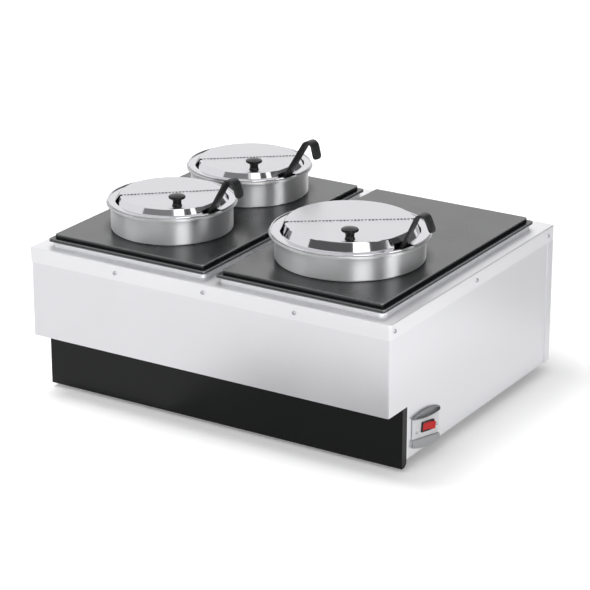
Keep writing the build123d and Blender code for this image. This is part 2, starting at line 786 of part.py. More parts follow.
def make_switch_housing():
    """Snap-in switch housing with an open front, pivot holes and four blade terminals."""
    middle = Pos(switch_out, switch_y, CONTROL_HEIGHT)
    outer = (Align.MAX, Align.CENTER, Align.CENTER)
    flange = Box(
        SWITCH_FLANGE_HEIGHT,
        SWITCH_LENGTH + 2 * SWITCH_FLANGE,
        SWITCH_HEIGHT + 2 * SWITCH_FLANGE,
        align=outer,
    )
    body = Box(SWITCH_BODY, SWITCH_LENGTH, SWITCH_HEIGHT, align=outer)
    inner_length = SWITCH_LENGTH - 2 * SWITCH_WALL
    cavity = Box(SWITCH_BODY / 2, inner_length, SWITCH_HEIGHT - 2 * SWITCH_WALL, align=outer)
    pivot = Pos(-ROCKER_PIVOT_DEPTH, 0, 0) * Cylinder(ROCKER_PIVOT + PIVOT_CLEARANCE, SWITCH_HEIGHT)
    blade = Pos(-SWITCH_BODY, 0, 0) * Box(BLADE_LENGTH, BLADE_SHEET, BLADE_WIDTH, align=outer)
    blades = [Pos(0, index * SWITCH_BLADE_PITCH, 0) * blade for index in (-1, 0, 1)]
    return middle * (flange + body - [cavity, pivot] + blades)


def make_rocker():
    """Rocker with a valley across its middle, resting with its rear end out."""
    half = SWITCH_LENGTH / 2 - SWITCH_WALL - ROCKER_GAP
    height = SWITCH_HEIGHT - 2 * SWITCH_WALL - 2 * ROCKER_SIDE_GAP
    outline = Polyline(
        (-ROCKER_KEEL, -half + ROCKER_KEEL),
        (ROCKER_EDGE, -half),
        (ROCKER_VALLEY, 0),
        (ROCKER_EDGE, half),
        (-ROCKER_KEEL, half - ROCKER_KEEL),
        close=True,
    )
    rocker = extrude(make_face(outline), height / 2, both=True)
    pivot = Cylinder(ROCKER_PIVOT, SWITCH_HEIGHT)
    return Pos(pivot_x, switch_y, CONTROL_HEIGHT) * Rot(0, 0, -ROCKER_TILT) * (rocker + pivot)


def wire(*points):
    """Insulated wire along a bent path, each bend within the legs beside it."""
    legs = [(Vector(end) - Vector(start)).length for start, end in zip(points, points[1:])]
    room = min(legs[0], legs[-1], min(legs[1:-1]) / 2)
    path = FilletPolyline(*points, radius=min(WIRE_BEND, WIRE_LEG_SHARE * room))
    section = Plane(origin=path @ 0, z_dir=path % 0) * Circle(WIRE_RADIUS)
    return sweep(section, path=path)


def feed_wire():
    """Wire from the terminal block to the switch."""
    x = blade_end - 2 * WIRE_RUN
    y = switch_y - SWITCH_BLADE_PITCH
    run = terminal_y - 2 * WIRE_RUN
    low = terminal_wire_z
    return wire(
        (way_x(0), terminal_y, low),
        (way_x(0), run, low),
        (x, run, low),
        (x, y, low),
        (x, y, CONTROL_HEIGHT),
        (blade_end, y, CONTROL_HEIGHT),
    )


def switched_wire(side):
    """Wire from the switch to a well's thermostat."""
    start = switch_y if side < 0 else switch_y + SWITCH_BLADE_PITCH
    x = blade_end - WIRE_RUN + side * WIRE_DROP
    y = well_y + THERMOSTAT_OFFSET - side * THERMOSTAT_BLADE
    return wire(
        (blade_end, start, CONTROL_HEIGHT),
        (x, start, CONTROL_HEIGHT),
        (x, y, CONTROL_HEIGHT),
        (side * well_x, y, CONTROL_HEIGHT),
        (side * well_x, y, thermostat_end),
    )


def element_wire(side):
    """Wire from a well's thermostat to one tail of its element."""
    tail = side * well_x + element_rows()[-1]
    y = well_y + THERMOSTAT_OFFSET + side * THERMOSTAT_BLADE
    end = element_z - ELEMENT_TAIL
    level = end - WIRE_DROP
    return wire(
        (side * well_x, y, thermostat_end),
        (side * well_x, y, level),
        (tail, y, level),
        (tail, well_y + tail_y, level),
        (tail, well_y + tail_y, end),
    )


def return_wire(side):
    """Wire from the other tail of a well's element back to the terminal block."""
    tail = side * well_x + element_rows()[0]
    way = 1 if side < 0 else 2
    level = terminal_wire_z + (1 if side < 0 else 2) * WIRE_LIFT
    run = terminal_y - WIRE_RUN
    return wire(
        (tail, well_y + tail_y, element_z - ELEMENT_TAIL),
        (tail, well_y + tail_y, level),
        (tail, run, level),
        (way_x(way), run, level),
        (way_x(way), run, terminal_wire_z),
        (way_x(way), terminal_y, terminal_wire_z),
    )


def make_wiring():
    """All wires between the terminal block, the switch, the thermostats and the elements."""
    wires = [feed_wire()]
    for side in (-1, 1):
        wires += [switched_wire(side), element_wire(side), return_wire(side)]
    return Part() + wires


def plate_seat(side):
    """Centre of an adapter plate in plan."""
    return Pos(side * well_x, well_y, 0)


def make_adapter_plate(side):
    """Moulded plate with a stepped edge, a locating lip underneath and a hole for each inset."""
    flange = block(PLATE_WIDTH, PLATE_DEPTH, PLATE_FLANGE, PLATE_CORNER, platform_top)
    flange = fillet(flange.edges().group_by(Axis.Z)[-1], PLATE_EDGE)
    top_width = PLATE_WIDTH - 2 * PLATE_LEDGE
    top_depth = PLATE_DEPTH - 2 * PLATE_LEDGE
    step = block(top_width, top_depth, PLATE_FLANGE + PLATE_STEP, PLATE_CORNER, platform_top)
    step = fillet(step.edges().group_by(Axis.Z)[-1], PLATE_EDGE)
    lip_width = opening_width - 2 * LIP_CLEARANCE
    lip_depth = opening_depth - 2 * LIP_CLEARANCE
    lip_corner = OPENING_CORNER - LIP_CLEARANCE
    lip = block(lip_width, lip_depth, LIP_DEPTH, lip_corner, platform_top - LIP_DEPTH)
    hollow = block(
        lip_width - 2 * PLATE_WALL,
        lip_depth - 2 * PLATE_WALL,
        LIP_DEPTH + PLATE_FLANGE + PLATE_STEP - PLATE_WALL,
        lip_corner - PLATE_WALL,
        platform_top - LIP_DEPTH,
    )
    plate = flange + step + lip - hollow
    ceiling = plate_top - PLATE_WALL
    for pot in POTS:
        if pot.side == side:
            rib = Pos(*pot.from_centre, ceiling) * Cylinder(
                pot.hole_radius + PLATE_WALL, HOLE_RIB, align=(Align.CENTER, Align.CENTER, Align.MAX)
            )
            hole = Pos(*pot.from_centre, plate_top) * Cylinder(pot.hole_radius, 4 * HOLE_RIB)
            plate = plate + rib - hole
    return plate_seat(side) * plate


def pot_seat(pot):
    """Axis of an inset, on the plate's upper face."""
    return plate_seat(pot.side) * Pos(*pot.from_centre, plate_top)


def make_inset(pot):
    """Round inset: tapered body below the plate, collar above it and a rolled rim."""
    body = pot.hole_radius - INSET_FIT
    flange = pot.rim_top - INSET_SHEET
    bead = pot.rim_radius - RIM_BEAD
    outline = [
        (0, -pot.depth),
        (body - INSET_TAPER, -pot.depth),
        (body, 0),
        (pot.collar_radius, 0),
        (pot.collar_radius, flange),
        (bead, flange),
    ]
    bends = [INSET_BEND, INSET_SHEET / 2, INSET_SHEET / 2, RIM_BEND]
    section = sheet_section(outline, INSET_SHEET, bends)
    section += Pos(bead, pot.rim_top - RIM_BEAD) * Circle(RIM_BEAD)
    return pot_seat(pot) * turned(section)


def cover_frame(pot):
    """Frame of a cover: X along its hinge, -Y towards its hinged leaf."""
    return pot_seat(pot) * Rot(0, 0, pot.cover_turn)


def cover_shell(pot):
    """Whole cover before it is parted at the hinge."""
    edge = pot.rim_radius - COVER_INSET - COVER_CURL
    outline = [
        (0, pot.cover_top),
        (pot.cover_radius, pot.cover_top),
        (pot.skirt_radius, pot.cover_flange),
        (edge, pot.cover_flange),
    ]
    section = sheet_section(offset_points(outline, -COVER_SHEET), COVER_SHEET, [COVER_EDGE_BEND, COVER_SHEET])
    curl_height = pot.cover_flange - COVER_SHEET + COVER_CURL
    section += Pos(edge, curl_height) * Circle(COVER_CURL)
    return turned(section)


def hinge_length(pot):
    """Length of the piano hinge."""
    return 2 * (pot.cover_radius - HINGE_END)


def hinge_rod(pot, radius):
    """Rod along the hinge's axis."""
    return Pos(0, 0, pot.hinge_height) * Rot(0, 90, 0) * Cylinder(radius, hinge_length(pot))


def knuckles(pot, side):
    """Hinge knuckles of one leaf, with the web that joins each to its leaf; side is +1 for the rear leaf."""
    pitch = hinge_length(pot) / pot.knuckles
    length = pitch - KNUCKLE_GAP
    reach = HINGE_SETBACK + COVER_SHEET
    barrel = Pos(0, 0, pot.hinge_height) * Rot(0, 90, 0) * Cylinder(KNUCKLE_RADIUS, length)
    web = Pos(0, side * reach / 2, pot.cover_top - COVER_SHEET / 2) * Box(length, reach, COVER_SHEET)
    first = 0 if side > 0 else 1
    places = [(index - (pot.knuckles - 1) / 2) * pitch for index in range(first, pot.knuckles, 2)]
    return [Pos(x, 0, 0) * piece for x in places for piece in (barrel, web)]


def half_space(pot, side):
    """Block that keeps the part of a cover on one side of its hinge."""
    size = 3 * pot.rim_radius
    return Pos(0, side * HINGE_SETBACK, 0) * Box(
        size, size, size, align=(Align.CENTER, Align.MIN if side > 0 else Align.MAX, Align.CENTER)
    )


def relief_wedge(pot):
    """Wedge under the hinge that the hinged leaf leaves free."""
    under = pot.cover_top - COVER_SHEET
    low = pot.cover_flange - RELIEF_DROP
    wedge = make_face(
        Polyline((-HINGE_SETBACK, under), (-HINGE_SETBACK, low), (-RELIEF_WIDTH, low), close=True)
    )
    return extrude(Plane.YZ * wedge, 2 * pot.rim_radius, both=True)


def tab_space(pot):
    """Space of the rear leaf's flange in front of the hinge: outside the skirt and inside the wedge."""
    strip = Box(4 * pot.rim_radius, 4 * HINGE_SETBACK, 8 * COVER_CURL)
    reach = Pos(0, RELIEF_GAP, 0) * relief_wedge(pot) + Pos(0, HINGE_SETBACK, pot.cover_flange) * strip
    ring = Cylinder(2 * pot.rim_radius, 4 * COVER_CURL) - Cylinder(pot.skirt_radius + COVER_SHEET, 4 * COVER_CURL)
    return Pos(0, 0, pot.cover_flange) * ring & reach


def make_cover_rear(pot):
    """Fixed rear leaf of a cover, with a flange that reaches past the hinge into the other leaf's relief."""
    shell = cover_shell(pot)
    tabs = shell & tab_space(pot)
    leaf = (shell & half_space(pot, 1)) + tabs + knuckles(pot, 1)
    return cover_frame(pot) * (leaf - hinge_rod(pot, PIN_RADIUS + PIN_CLEARANCE))


def make_cover_flap(pot):
    """Hinged front leaf of a cover, with relief at the hinge, a ladle notch and a hole for the knob."""
    leaf = (cover_shell(pot) & half_space(pot, -1)) + knuckles(pot, -1)
    inner = pot.skirt_radius - NOTCH_DEPTH
    notch = Rot(0, 0, -pot.notch_angle) * Pos(inner, 0, pot.cover_flange + NOTCH_RISE) * Box(
        pot.rim_radius, NOTCH_WIDTH, 4 * NOTCH_RISE, align=(Align.MIN, Align.CENTER, Align.MAX)
    )
    hole = Pos(pot.knob_side, -pot.knob_reach, pot.cover_top) * screw_hole(6 * COVER_SHEET)
    bore = hinge_rod(pot, PIN_RADIUS + PIN_CLEARANCE)
    return cover_frame(pot) * (leaf - [relief_wedge(pot), notch, hole, bore])


def make_hinge_pin(pot):
    """Pin of the piano hinge."""
    return cover_frame(pot) * hinge_rod(pot, PIN_RADIUS)


def knob_seat(pot):
    """Place of the knob on the hinged leaf."""
    return cover_frame(pot) * Pos(pot.knob_side, -pot.knob_reach, pot.cover_top)


def make_knob(pot):
    """Mushroom knob with a waisted stem and a blind hole for its screw."""
    cap_low = KNOB_HEIGHT - KNOB_CAP_HEIGHT
    brim = KNOB_CAP - KNOB_EDGE
    brim_low = cap_low + KNOB_EDGE / 2
    brim_high = KNOB_HEIGHT - KNOB_EDGE / 2
    stem = ThreePointArc((KNOB_STEM, 0), (KNOB_STEM - KNOB_WAIST, cap_low / 2), (KNOB_STEM, cap_low))
    under = Line((KNOB_STEM, cap_low), (brim, brim_low))
    edge = ThreePointArc((brim, brim_low), (KNOB_CAP, (brim_low + brim_high) / 2), (brim, brim_high))
    dome = TangentArc((0, KNOB_HEIGHT), (brim, brim_high), tangent=(1, 0))
    axis = Polyline((0, KNOB_HEIGHT), (0, 0), (KNOB_STEM, 0))
    profile = make_face(stem.edges() + under.edges() + edge.edges() + dome.edges() + axis.edges())
    hole = Cylinder(
        SCREW_SHANK + SCREW_CLEARANCE,
        SCREW_LENGTH + SCREW_CLEARANCE - COVER_SHEET,
        align=(Align.CENTER, Align.CENTER, Align.MIN),
    )
    return knob_seat(pot) * (turned(profile) - hole)


def make_knob_screw(pot):
    """Screw under the hinged leaf that holds the knob."""
    return knob_seat(pot) * Pos(0, 0, -COVER_SHEET) * Rot(180, 0, 0) * screw(SCREW_HEAD, SCREW_LENGTH)


def ladle_frame(pot):
    """Frame of a ladle where its handle passes the inset's mouth: X outwards along its lean, Z up."""
    angle = pot.cover_turn - pot.notch_angle
    skew = pot.ladle_turn - angle
    half_grip = GRIP_THICKNESS / 2 / cos(radians(pot.ladle_lean)) + GRIP_WIDTH / 2 * abs(sin(radians(skew)))
    radius = pot.collar_radius - INSET_SHEET - SEAT_CLEARANCE - half_grip
    return pot_seat(pot) * Rot(0, 0, angle) * Pos(radius, 0, pot.rim_top) * Rot(0, 0, skew)


def along_handle(pot, length):
    """Point of the handle's line in the ladle's frame, as distance out and height."""
    lean = radians(pot.ladle_lean)
    return (length * sin(lean), length * cos(lean))


def ribbon(points, thickness, bends, width):
    """Flat strip of a given width whose middle line is drawn in the ladle's plane."""
    section = sheet_section(offset_points(points, -thickness / 2), thickness, bends)
    return extrude(Plane.XZ * section, width / 2, both=True)


def bowl_bottom(pot):
    """Underside of a ladle's bowl in the ladle's frame, just clear of the inset's floor."""
    return INSET_SHEET + BOWL_GAP - pot.depth - pot.rim_top


def strap_knee(pot):
    """Point where a ladle's strap bends from its bowl's wall to the handle's line."""
    height = bowl_bottom(pot) + BOWL_HEIGHT + BOWL_LAP / 2
    return (height * tan(radians(pot.ladle_lean)), height)


def ladle_strap(pot):
    """Steel strap that runs from the bowl's wall up into the grip."""
    knee = strap_knee(pot)
    foot = (knee[0], bowl_bottom(pot) + BOWL_HEIGHT - BOWL_LAP)
    return ribbon([foot, knee, along_handle(pot, STRAP_TOP)], STRAP_SHEET, [BOWL_LAP / 2], STRAP_WIDTH)


def make_ladle(pot):
    """Ladle bowl with its steel strap."""
    outline = [(0, 0), (BOWL_RADIUS, 0), (BOWL_RADIUS, BOWL_HEIGHT)]
    cup = turned(sheet_section(outline, INSET_SHEET, [BOWL_BEND]))
    inside = Cylinder(BOWL_RADIUS - INSET_SHEET, BOWL_HEIGHT, align=(Align.CENTER, Align.CENTER, Align.MIN))
    axis = strap_knee(pot)[0] - STRAP_SHEET / 2 - BOWL_RADIUS + INSET_SHEET / 2
    place = Pos(axis, 0, bowl_bottom(pot))
    return ladle_frame(pot) * (ladle_strap(pot) - place * Pos(0, 0, INSET_SHEET) * inside + place * cup)


def make_ladle_grip(pot):
    """Moulded grip over the strap, bent over into a hook with a pointed end."""
    tangent = HOOK_RADIUS * tan(radians(HOOK_TURN / 2))
    corner = along_handle(pot, pot.ladle_reach + tangent)
    slant = radians(pot.ladle_lean + HOOK_TURN)
    length = tangent + HOOK_LEG
    tip = (corner[0] + length * sin(slant), corner[1] + length * cos(slant))
    outline = [along_handle(pot, -GRIP_BELOW), corner, tip]
    grip = ribbon(outline, GRIP_THICKNESS, [HOOK_RADIUS - GRIP_THICKNESS / 2], GRIP_WIDTH)
    end = grip.faces().sort_by_distance((tip[0], 0, tip[1]))[0]
    point = chamfer(end.edges().sort_by(SortBy.LENGTH)[:2], HOOK_POINT)
    return ladle_frame(pot) * (point - ladle_strap(pot))


def build_nodes():
    """Every piece of the warmer by node name."""
    nodes = {
        "top_deck": make_top_deck(),
        "body_wrap": make_body_wrap(),
        "rear_panel": make_rear_panel(),
        "toe_panel": make_toe_panel(),
        "base_pan": make_base_pan(),
        "feet": make_feet(),
        "foot_screws": make_foot_screws(),
        "deck_screws": make_deck_screws(),
        "rear_screws": make_rear_screws(),
        "cord_gland": make_cord_gland(),
        "terminal_block": make_terminal_block(),
        "wiring": make_wiring(),
        "control_bezel": make_control_bezel(),
        "control_face": make_control_face(),
        "control_screws": make_face_screws(),
        "switch_housing": make_switch_housing(),
        "rocker": make_rocker(),
    }
    for side, name, seat in zip((-1, 1), ("left", "right"), well_seats()):
        nodes[f"{name}_well"] = make_well(seat)
        nodes[f"{name}_heating_element"] = make_element(seat)
        nodes[f"{name}_element_clamps"] = make_element_clamp(seat)
        nodes[f"{name}_heat_shield"] = make_heat_shield(seat)
        nodes[f"{name}_insulation"] = make_insulation(seat)
        nodes[f"{name}_thermostat"] = make_thermostat(seat)
        nodes[f"{name}_adapter_plate"] = make_adapter_plate(side)
    for pot in POTS:
        nodes[f"{pot.name}_inset"] = make_inset(pot)
        nodes[f"{pot.name}_cover_rear"] = make_cover_rear(pot)
        nodes[f"{pot.name}_cover_flap"] = make_cover_flap(pot)
        nodes[f"{pot.name}_hinge_pin"] = make_hinge_pin(pot)
        nodes[f"{pot.name}_knob"] = make_knob(pot)
        nodes[f"{pot.name}_knob_screw"] = make_knob_screw(pot)
        nodes[f"{pot.name}_ladle"] = make_ladle(pot)
        nodes[f"{pot.name}_ladle_grip"] = make_ladle_grip(pot)
    return nodes


os.makedirs("parts", exist_ok=True)
for node, part in build_nodes().items():
    export_step(part, f"parts/{node}.step")
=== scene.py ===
"""Countertop food warmer: its finishes, its small detailed pieces, the camera and the studio.

Everything is in metres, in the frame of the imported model: +X to the right along the front,
+Y to the back and +Z up, with the origin on the counter under the middle of the deck.
"""

import logging
import math
from dataclasses import dataclass, replace
from enum import Enum
from typing import Any, Protocol

import bpy
from mathutils import Matrix, Vector

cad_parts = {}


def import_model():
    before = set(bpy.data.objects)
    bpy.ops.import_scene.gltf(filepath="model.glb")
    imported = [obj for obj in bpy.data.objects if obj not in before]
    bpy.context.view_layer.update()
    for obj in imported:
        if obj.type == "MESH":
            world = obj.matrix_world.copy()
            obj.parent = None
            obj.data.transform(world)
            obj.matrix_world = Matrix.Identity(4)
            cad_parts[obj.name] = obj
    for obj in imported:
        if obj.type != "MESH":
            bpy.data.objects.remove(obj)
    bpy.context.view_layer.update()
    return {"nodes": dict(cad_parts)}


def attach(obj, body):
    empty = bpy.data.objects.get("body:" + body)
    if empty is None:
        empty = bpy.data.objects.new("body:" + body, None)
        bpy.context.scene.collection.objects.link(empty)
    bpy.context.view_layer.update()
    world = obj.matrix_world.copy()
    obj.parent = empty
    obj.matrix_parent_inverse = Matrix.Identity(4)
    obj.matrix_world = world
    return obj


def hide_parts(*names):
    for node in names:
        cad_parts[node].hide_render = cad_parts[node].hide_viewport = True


LOG = logging.getLogger("food_warmer")
MM = 0.001
MERGE_DISTANCE = 0.01 * MM
SHARP_ANGLE = 35.0
# Least cosine between two directions that count as the same.
SAME_WAY = 0.9
# Share of a piece's size within which one of its faces or edges counts as near a point.
NEAR = 1 / 4
# Share of the way from a corner to the point that pulls a curve, where the curve's handle lies.
HANDLE_SHARE = 2 / 3
# Where most values of a noise lie.
NOISE_SPAN = (0.3, 0.7)
UP = Vector((0.0, 0.0, 1.0))
# Turns a drawing on to the right side: X to the back, Y up and Z out of the wall.
ON_SIDE = Matrix(((0, 0, 1, 0), (1, 0, 0, 0), (0, 1, 0, 0), (0, 0, 0, 1)))

Colour = tuple[float, float, float]
Point = tuple[float, float, float]
Span = tuple[float, float]
Piece = bpy.types.Object
Socket = bpy.types.NodeSocket


class Grain(Enum):
    """How the brushing of a steel sheet runs."""

    LEVEL = "level lines on upright faces"
    ALONG_X = "lines along the front"
    ROUND = "lines round an upright axis"


class Element(Enum):
    """What is selected in edit mode."""

    POINT = "VERT"
    EDGE = "EDGE"
    FACE = "FACE"


class Cut(Enum):
    """What a tool does to a piece."""

    ADD = "UNION"
    REMOVE = "DIFFERENCE"


class Shader:
    """A node material under construction."""

    def __init__(self, name: str) -> None:
        """Start a material with its surface shader and its object coordinates.

        Args:
            name: Name of the material.
        """
        self.material = bpy.data.materials.new(name)
        self.material.use_nodes = True
        self.tree = self.material.node_tree
        self.surface = self.tree.nodes["Principled BSDF"]
        self.place = self.tree.nodes.new("ShaderNodeTexCoord").outputs["Object"]

    def plain(self, **values: Any) -> None:
        """Set values that are the same all over, by socket name with _ for a space."""
        for name, value in values.items():
            self.surface.inputs[name.replace("_", " ")].default_value = value

    def add(self, kind: str, inputs: dict[Any, Any], **settings: Any) -> bpy.types.Node:
        """Add a node.

        Args:
            kind: Blender's name of the node type.
            inputs: Values or output sockets by input socket.
            **settings: Properties of the node.

        Returns:
            The new node.
        """
        node = self.tree.nodes.new(kind)
        for name, value in settings.items():
            setattr(node, name, value)
        for socket, value in inputs.items():
            if isinstance(value, Socket):
                self.tree.links.new(value, node.inputs[socket])
            else:
                node.inputs[socket].default_value = value
        return node

    def feed(self, socket: str, source: Socket) -> None:
        """Link an output to a socket of the surface shader."""
        self.tree.links.new(source, self.surface.inputs[socket])

    def math(self, operation: str, first: Any, second: Any = 0.0) -> Socket:
        """Result of a sum on one or two values."""
        return self.add("ShaderNodeMath", {0: first, 1: second}, operation=operation).outputs[0]

    def length(self, vector: Socket) -> Socket:
        """Length of a vector."""
        return self.add("ShaderNodeVectorMath", {0: vector}, operation="LENGTH").outputs["Value"]

    def axis(self, vector: Socket, name: str) -> Socket:
        """One axis of a vector: X, Y or Z."""
        return self.add("ShaderNodeSeparateXYZ", {0: vector}).outputs[name]

    def mapped(self, scale: Point, shift: Point = (0.0, 0.0, 0.0)) -> Socket:
        """Object coordinates moved by a shift and then scaled.

        Args:
            scale: Factor on each axis.
            shift: Point that becomes the pattern's origin.

        Returns:
            The vector output.
        """
        centred = self.add("ShaderNodeVectorMath", {0: self.place, 1: shift}, operation="SUBTRACT")
        ends = {0: centred.outputs[0], 1: scale}
        return self.add("ShaderNodeVectorMath", ends, operation="MULTIPLY").outputs[0]

    def noise(self, vector: Socket, scale: float, detail: float = 3.0) -> Socket:
        """Noise from 0 to 1 on a vector.

        Args:
            vector: Where the noise is read.
            scale: Waves per unit.
            detail: Octaves.

        Returns:
            The value output.
        """
        inputs = {"Vector": vector, "Scale": scale, "Detail": detail}
        return self.add("ShaderNodeTexNoise", inputs).outputs["Fac"]

    def ramp(self, value: Socket, start: Span, result: Span) -> Socket:
        """Map a value from one range to another, held at the ends.

        Args:
            value: The value.
            start: Its range.
            result: Range of the result.

        Returns:
            The value output.
        """
        ends = {"From Min": start[0], "From Max": start[1], "To Min": result[0], "To Max": result[1]}
        return self.add("ShaderNodeMapRange", {"Value": value, **ends}).outputs["Result"]

    def spread(self, source: Socket, result: Span) -> Socket:
        """Spread the middle of a noise over a range."""
        return self.ramp(source, NOISE_SPAN, result)

    def dull(self, source: Socket, roughness: float, swing: float) -> None:
        """Let the roughness wander to both sides of its mean by a noise value."""
        self.feed("Roughness", self.spread(source, (roughness - swing, roughness + swing)))

    def blend(self, share: Socket, low: Any, high: Any) -> Socket:
        """Colour between two colours or colour outputs.

        Args:
            share: 0 for the first and 1 for the second.
            low: First colour.
            high: Second colour.

        Returns:
            The colour output.
        """
        ends = [each if isinstance(each, Socket) else (*each, 1.0) for each in (low, high)]
        mix = self.add("ShaderNodeMix", {0: share, 6: ends[0], 7: ends[1]}, data_type="RGBA")
        return mix.outputs[2]

    def tint(self, share: Socket, low: Any, high: Any) -> Socket:
        """Let the base colour wander between two colours or colour outputs.

        Args:
            share: 0 for the first and 1 for the second.
            low: First colour.
            high: Second colour.

        Returns:
            The colour output.
        """
        colour = self.blend(share, low, high)
        self.feed("Base Color", colour)
        return colour

    def relief(self, height: Socket, depth: float) -> None:
        """Raise the surface by a height pattern from 0 to 1, by a depth in metres."""
        bump = self.add("ShaderNodeBump", {"Height": height, "Distance": depth, "Strength": 1.0})
        self.feed("Normal", bump.outputs["Normal"])


class Finish(Protocol):
    """Anything that can make a material."""

    @property
    def name(self) -> str:
        """Name of the finish and of its material."""

    def build(self) -> bpy.types.Material:
        """Make the material."""


def shade(colour: Colour, factor: float) -> Colour:
    """A colour made lighter or darker by a factor."""
    return (colour[0] * factor, colour[1] * factor, colour[2] * factor)


def tones(colour: Colour, span: Span) -> tuple[Colour, Colour]:
    """A darker and a lighter tone of a colour, by two factors."""
    return shade(colour, span[0]), shade(colour, span[1])


@dataclass(frozen=True)
class BrushedSteel:
    """Steel sheet with fine brushing and faint handling marks."""

    name: str
    colour: Colour
    roughness: float
    grain: Grain = Grain.LEVEL
    centre: Point = (0.0, 0.0, 0.0)
    line: float = 0.5 * MM
    line_length: float = 120 * MM
    depth: float = 0.004 * MM
    roughness_swing: float = 0.05
    tone_span: Span = (0.97, 1.03)
    marks: float = 9.0
    marks_detail: float = 4.0
    drawn_up: float = 0.0

    def lines(self, shader: Shader) -> Socket:
        """Pattern of the brushing.

        Args:
            shader: Material under construction.

        Returns:
            The pattern's value.
        """
        fine, coarse = 1 / self.line, 1 / self.line_length
        if self.grain is Grain.LEVEL:
            return shader.noise(shader.mapped((coarse, coarse, fine)), 1.0)
        if self.grain is Grain.ALONG_X:
            return shader.noise(shader.mapped((coarse, fine, fine)), 1.0)
        radius = shader.length(shader.mapped((fine, fine, 0.0), self.centre))
        height = shader.axis(shader.mapped((0.0, 0.0, fine)), "Z")
        both = shader.add("ShaderNodeCombineXYZ", {"X": radius, "Y": height})
        return shader.noise(both.outputs[0], 1.0)

    def build(self) -> bpy.types.Material:
        """Make the material.

        Returns:
            The material.
        """
        shader = Shader(self.name)
        shader.plain(Metallic=1.0)
        lines = self.lines(shader)
        marks = shader.noise(shader.place, self.marks, self.marks_detail)
        mean = shader.math("MULTIPLY", shader.math("ADD", lines, marks), 0.5)
        shader.dull(mean, self.roughness, self.roughness_swing)
        shader.tint(mean, *tones(self.colour, self.tone_span))
        shader.relief(lines, self.depth)
        if self.drawn_up:
            shader.plain(Anisotropic=self.drawn_up)
            upright = shader.add("ShaderNodeCombineXYZ", {"Z": 1.0})
            shader.feed("Tangent", upright.outputs[0])
        return shader.material


@dataclass(frozen=True)
class CoverSteel:
    """Cover that is satin on top and polished from its edge outwards, with shade painted on its hinge.
    """

    name: str
    centre: Point
    radius: float
    turn: float
    colour: Colour = (0.7, 0.695, 0.72)
    satin: float = 0.3
    polish: float = 0.07
    blend: float = 3.0 * MM
    grain: float = 0.7 * MM
    depth: float = 0.006 * MM
    roughness_span: Span = (0.9, 1.1)
    tone_span: Span = (0.97, 1.03)
    marks: float = 16.0
    marks_detail: float = 5.0
    # Width, pitch and share of the painted shade dashes along the hinge, and their dark colour.
    seam: float = 1.8 * MM
    seam_pitch: float = 6.0 * MM
    seam_share: float = 0.7
    seam_shade_tone: Colour = (0.06, 0.062, 0.065)

    def build(self) -> bpy.types.Material:
        """Make the material.

        Returns:
            The material.
        """
        shader = Shader(self.name)
        shader.plain(Metallic=1.0)
        flat = shader.mapped((1.0, 1.0, 0.0), self.centre)
        radius = shader.length(flat)
        edge = (self.radius - self.blend, self.radius)
        polish = shader.ramp(radius, edge, (self.satin, self.polish))
        marks = shader.noise(shader.place, self.marks, self.marks_detail)
        wander = shader.spread(marks, self.roughness_span)
        shader.feed("Roughness", shader.math("MULTIPLY", polish, wander))
        sheet = shader.blend(marks, *tones(self.colour, self.tone_span))
        # Painted shade: the colour goes dark in dashes along the hinge.
        shader.tint(self.hinge_shade_dashes(shader, flat), sheet, self.seam_shade_tone)
        grain = shader.noise(shader.place, 1 / self.grain)
        fade = shader.ramp(radius, edge, (1.0, 0.0))
        shader.relief(shader.math("MULTIPLY", grain, fade), self.depth)
        return shader.material

    def hinge_shade_dashes(self, shader: Shader, flat: Socket) -> Socket:
        """Painted shade in the joints between the hinge's knuckles, where they shade each other.

        Args:
            shader: Material under construction.
            flat: Place on the cover from its middle.

        Returns:
            1 in a joint and 0 elsewhere.
        """
        turned = {"Vector": flat, "Angle": -math.radians(self.turn)}
        hinge = shader.add("ShaderNodeVectorRotate", turned, rotation_type="Z_AXIS").outputs[0]
        along, across = shader.axis(hinge, "X"), shader.axis(hinge, "Y")
        beside = shader.math("LESS_THAN", shader.math("ABSOLUTE", across), self.seam)
        within = shader.math("LESS_THAN", shader.math("ABSOLUTE", along), self.radius)
        step = shader.math("FRACT", shader.math("DIVIDE", along, self.seam_pitch))
        row = shader.math("MULTIPLY", beside, within)
        return shader.math("MULTIPLY", row, shader.math("LESS_THAN", step, self.seam_share))


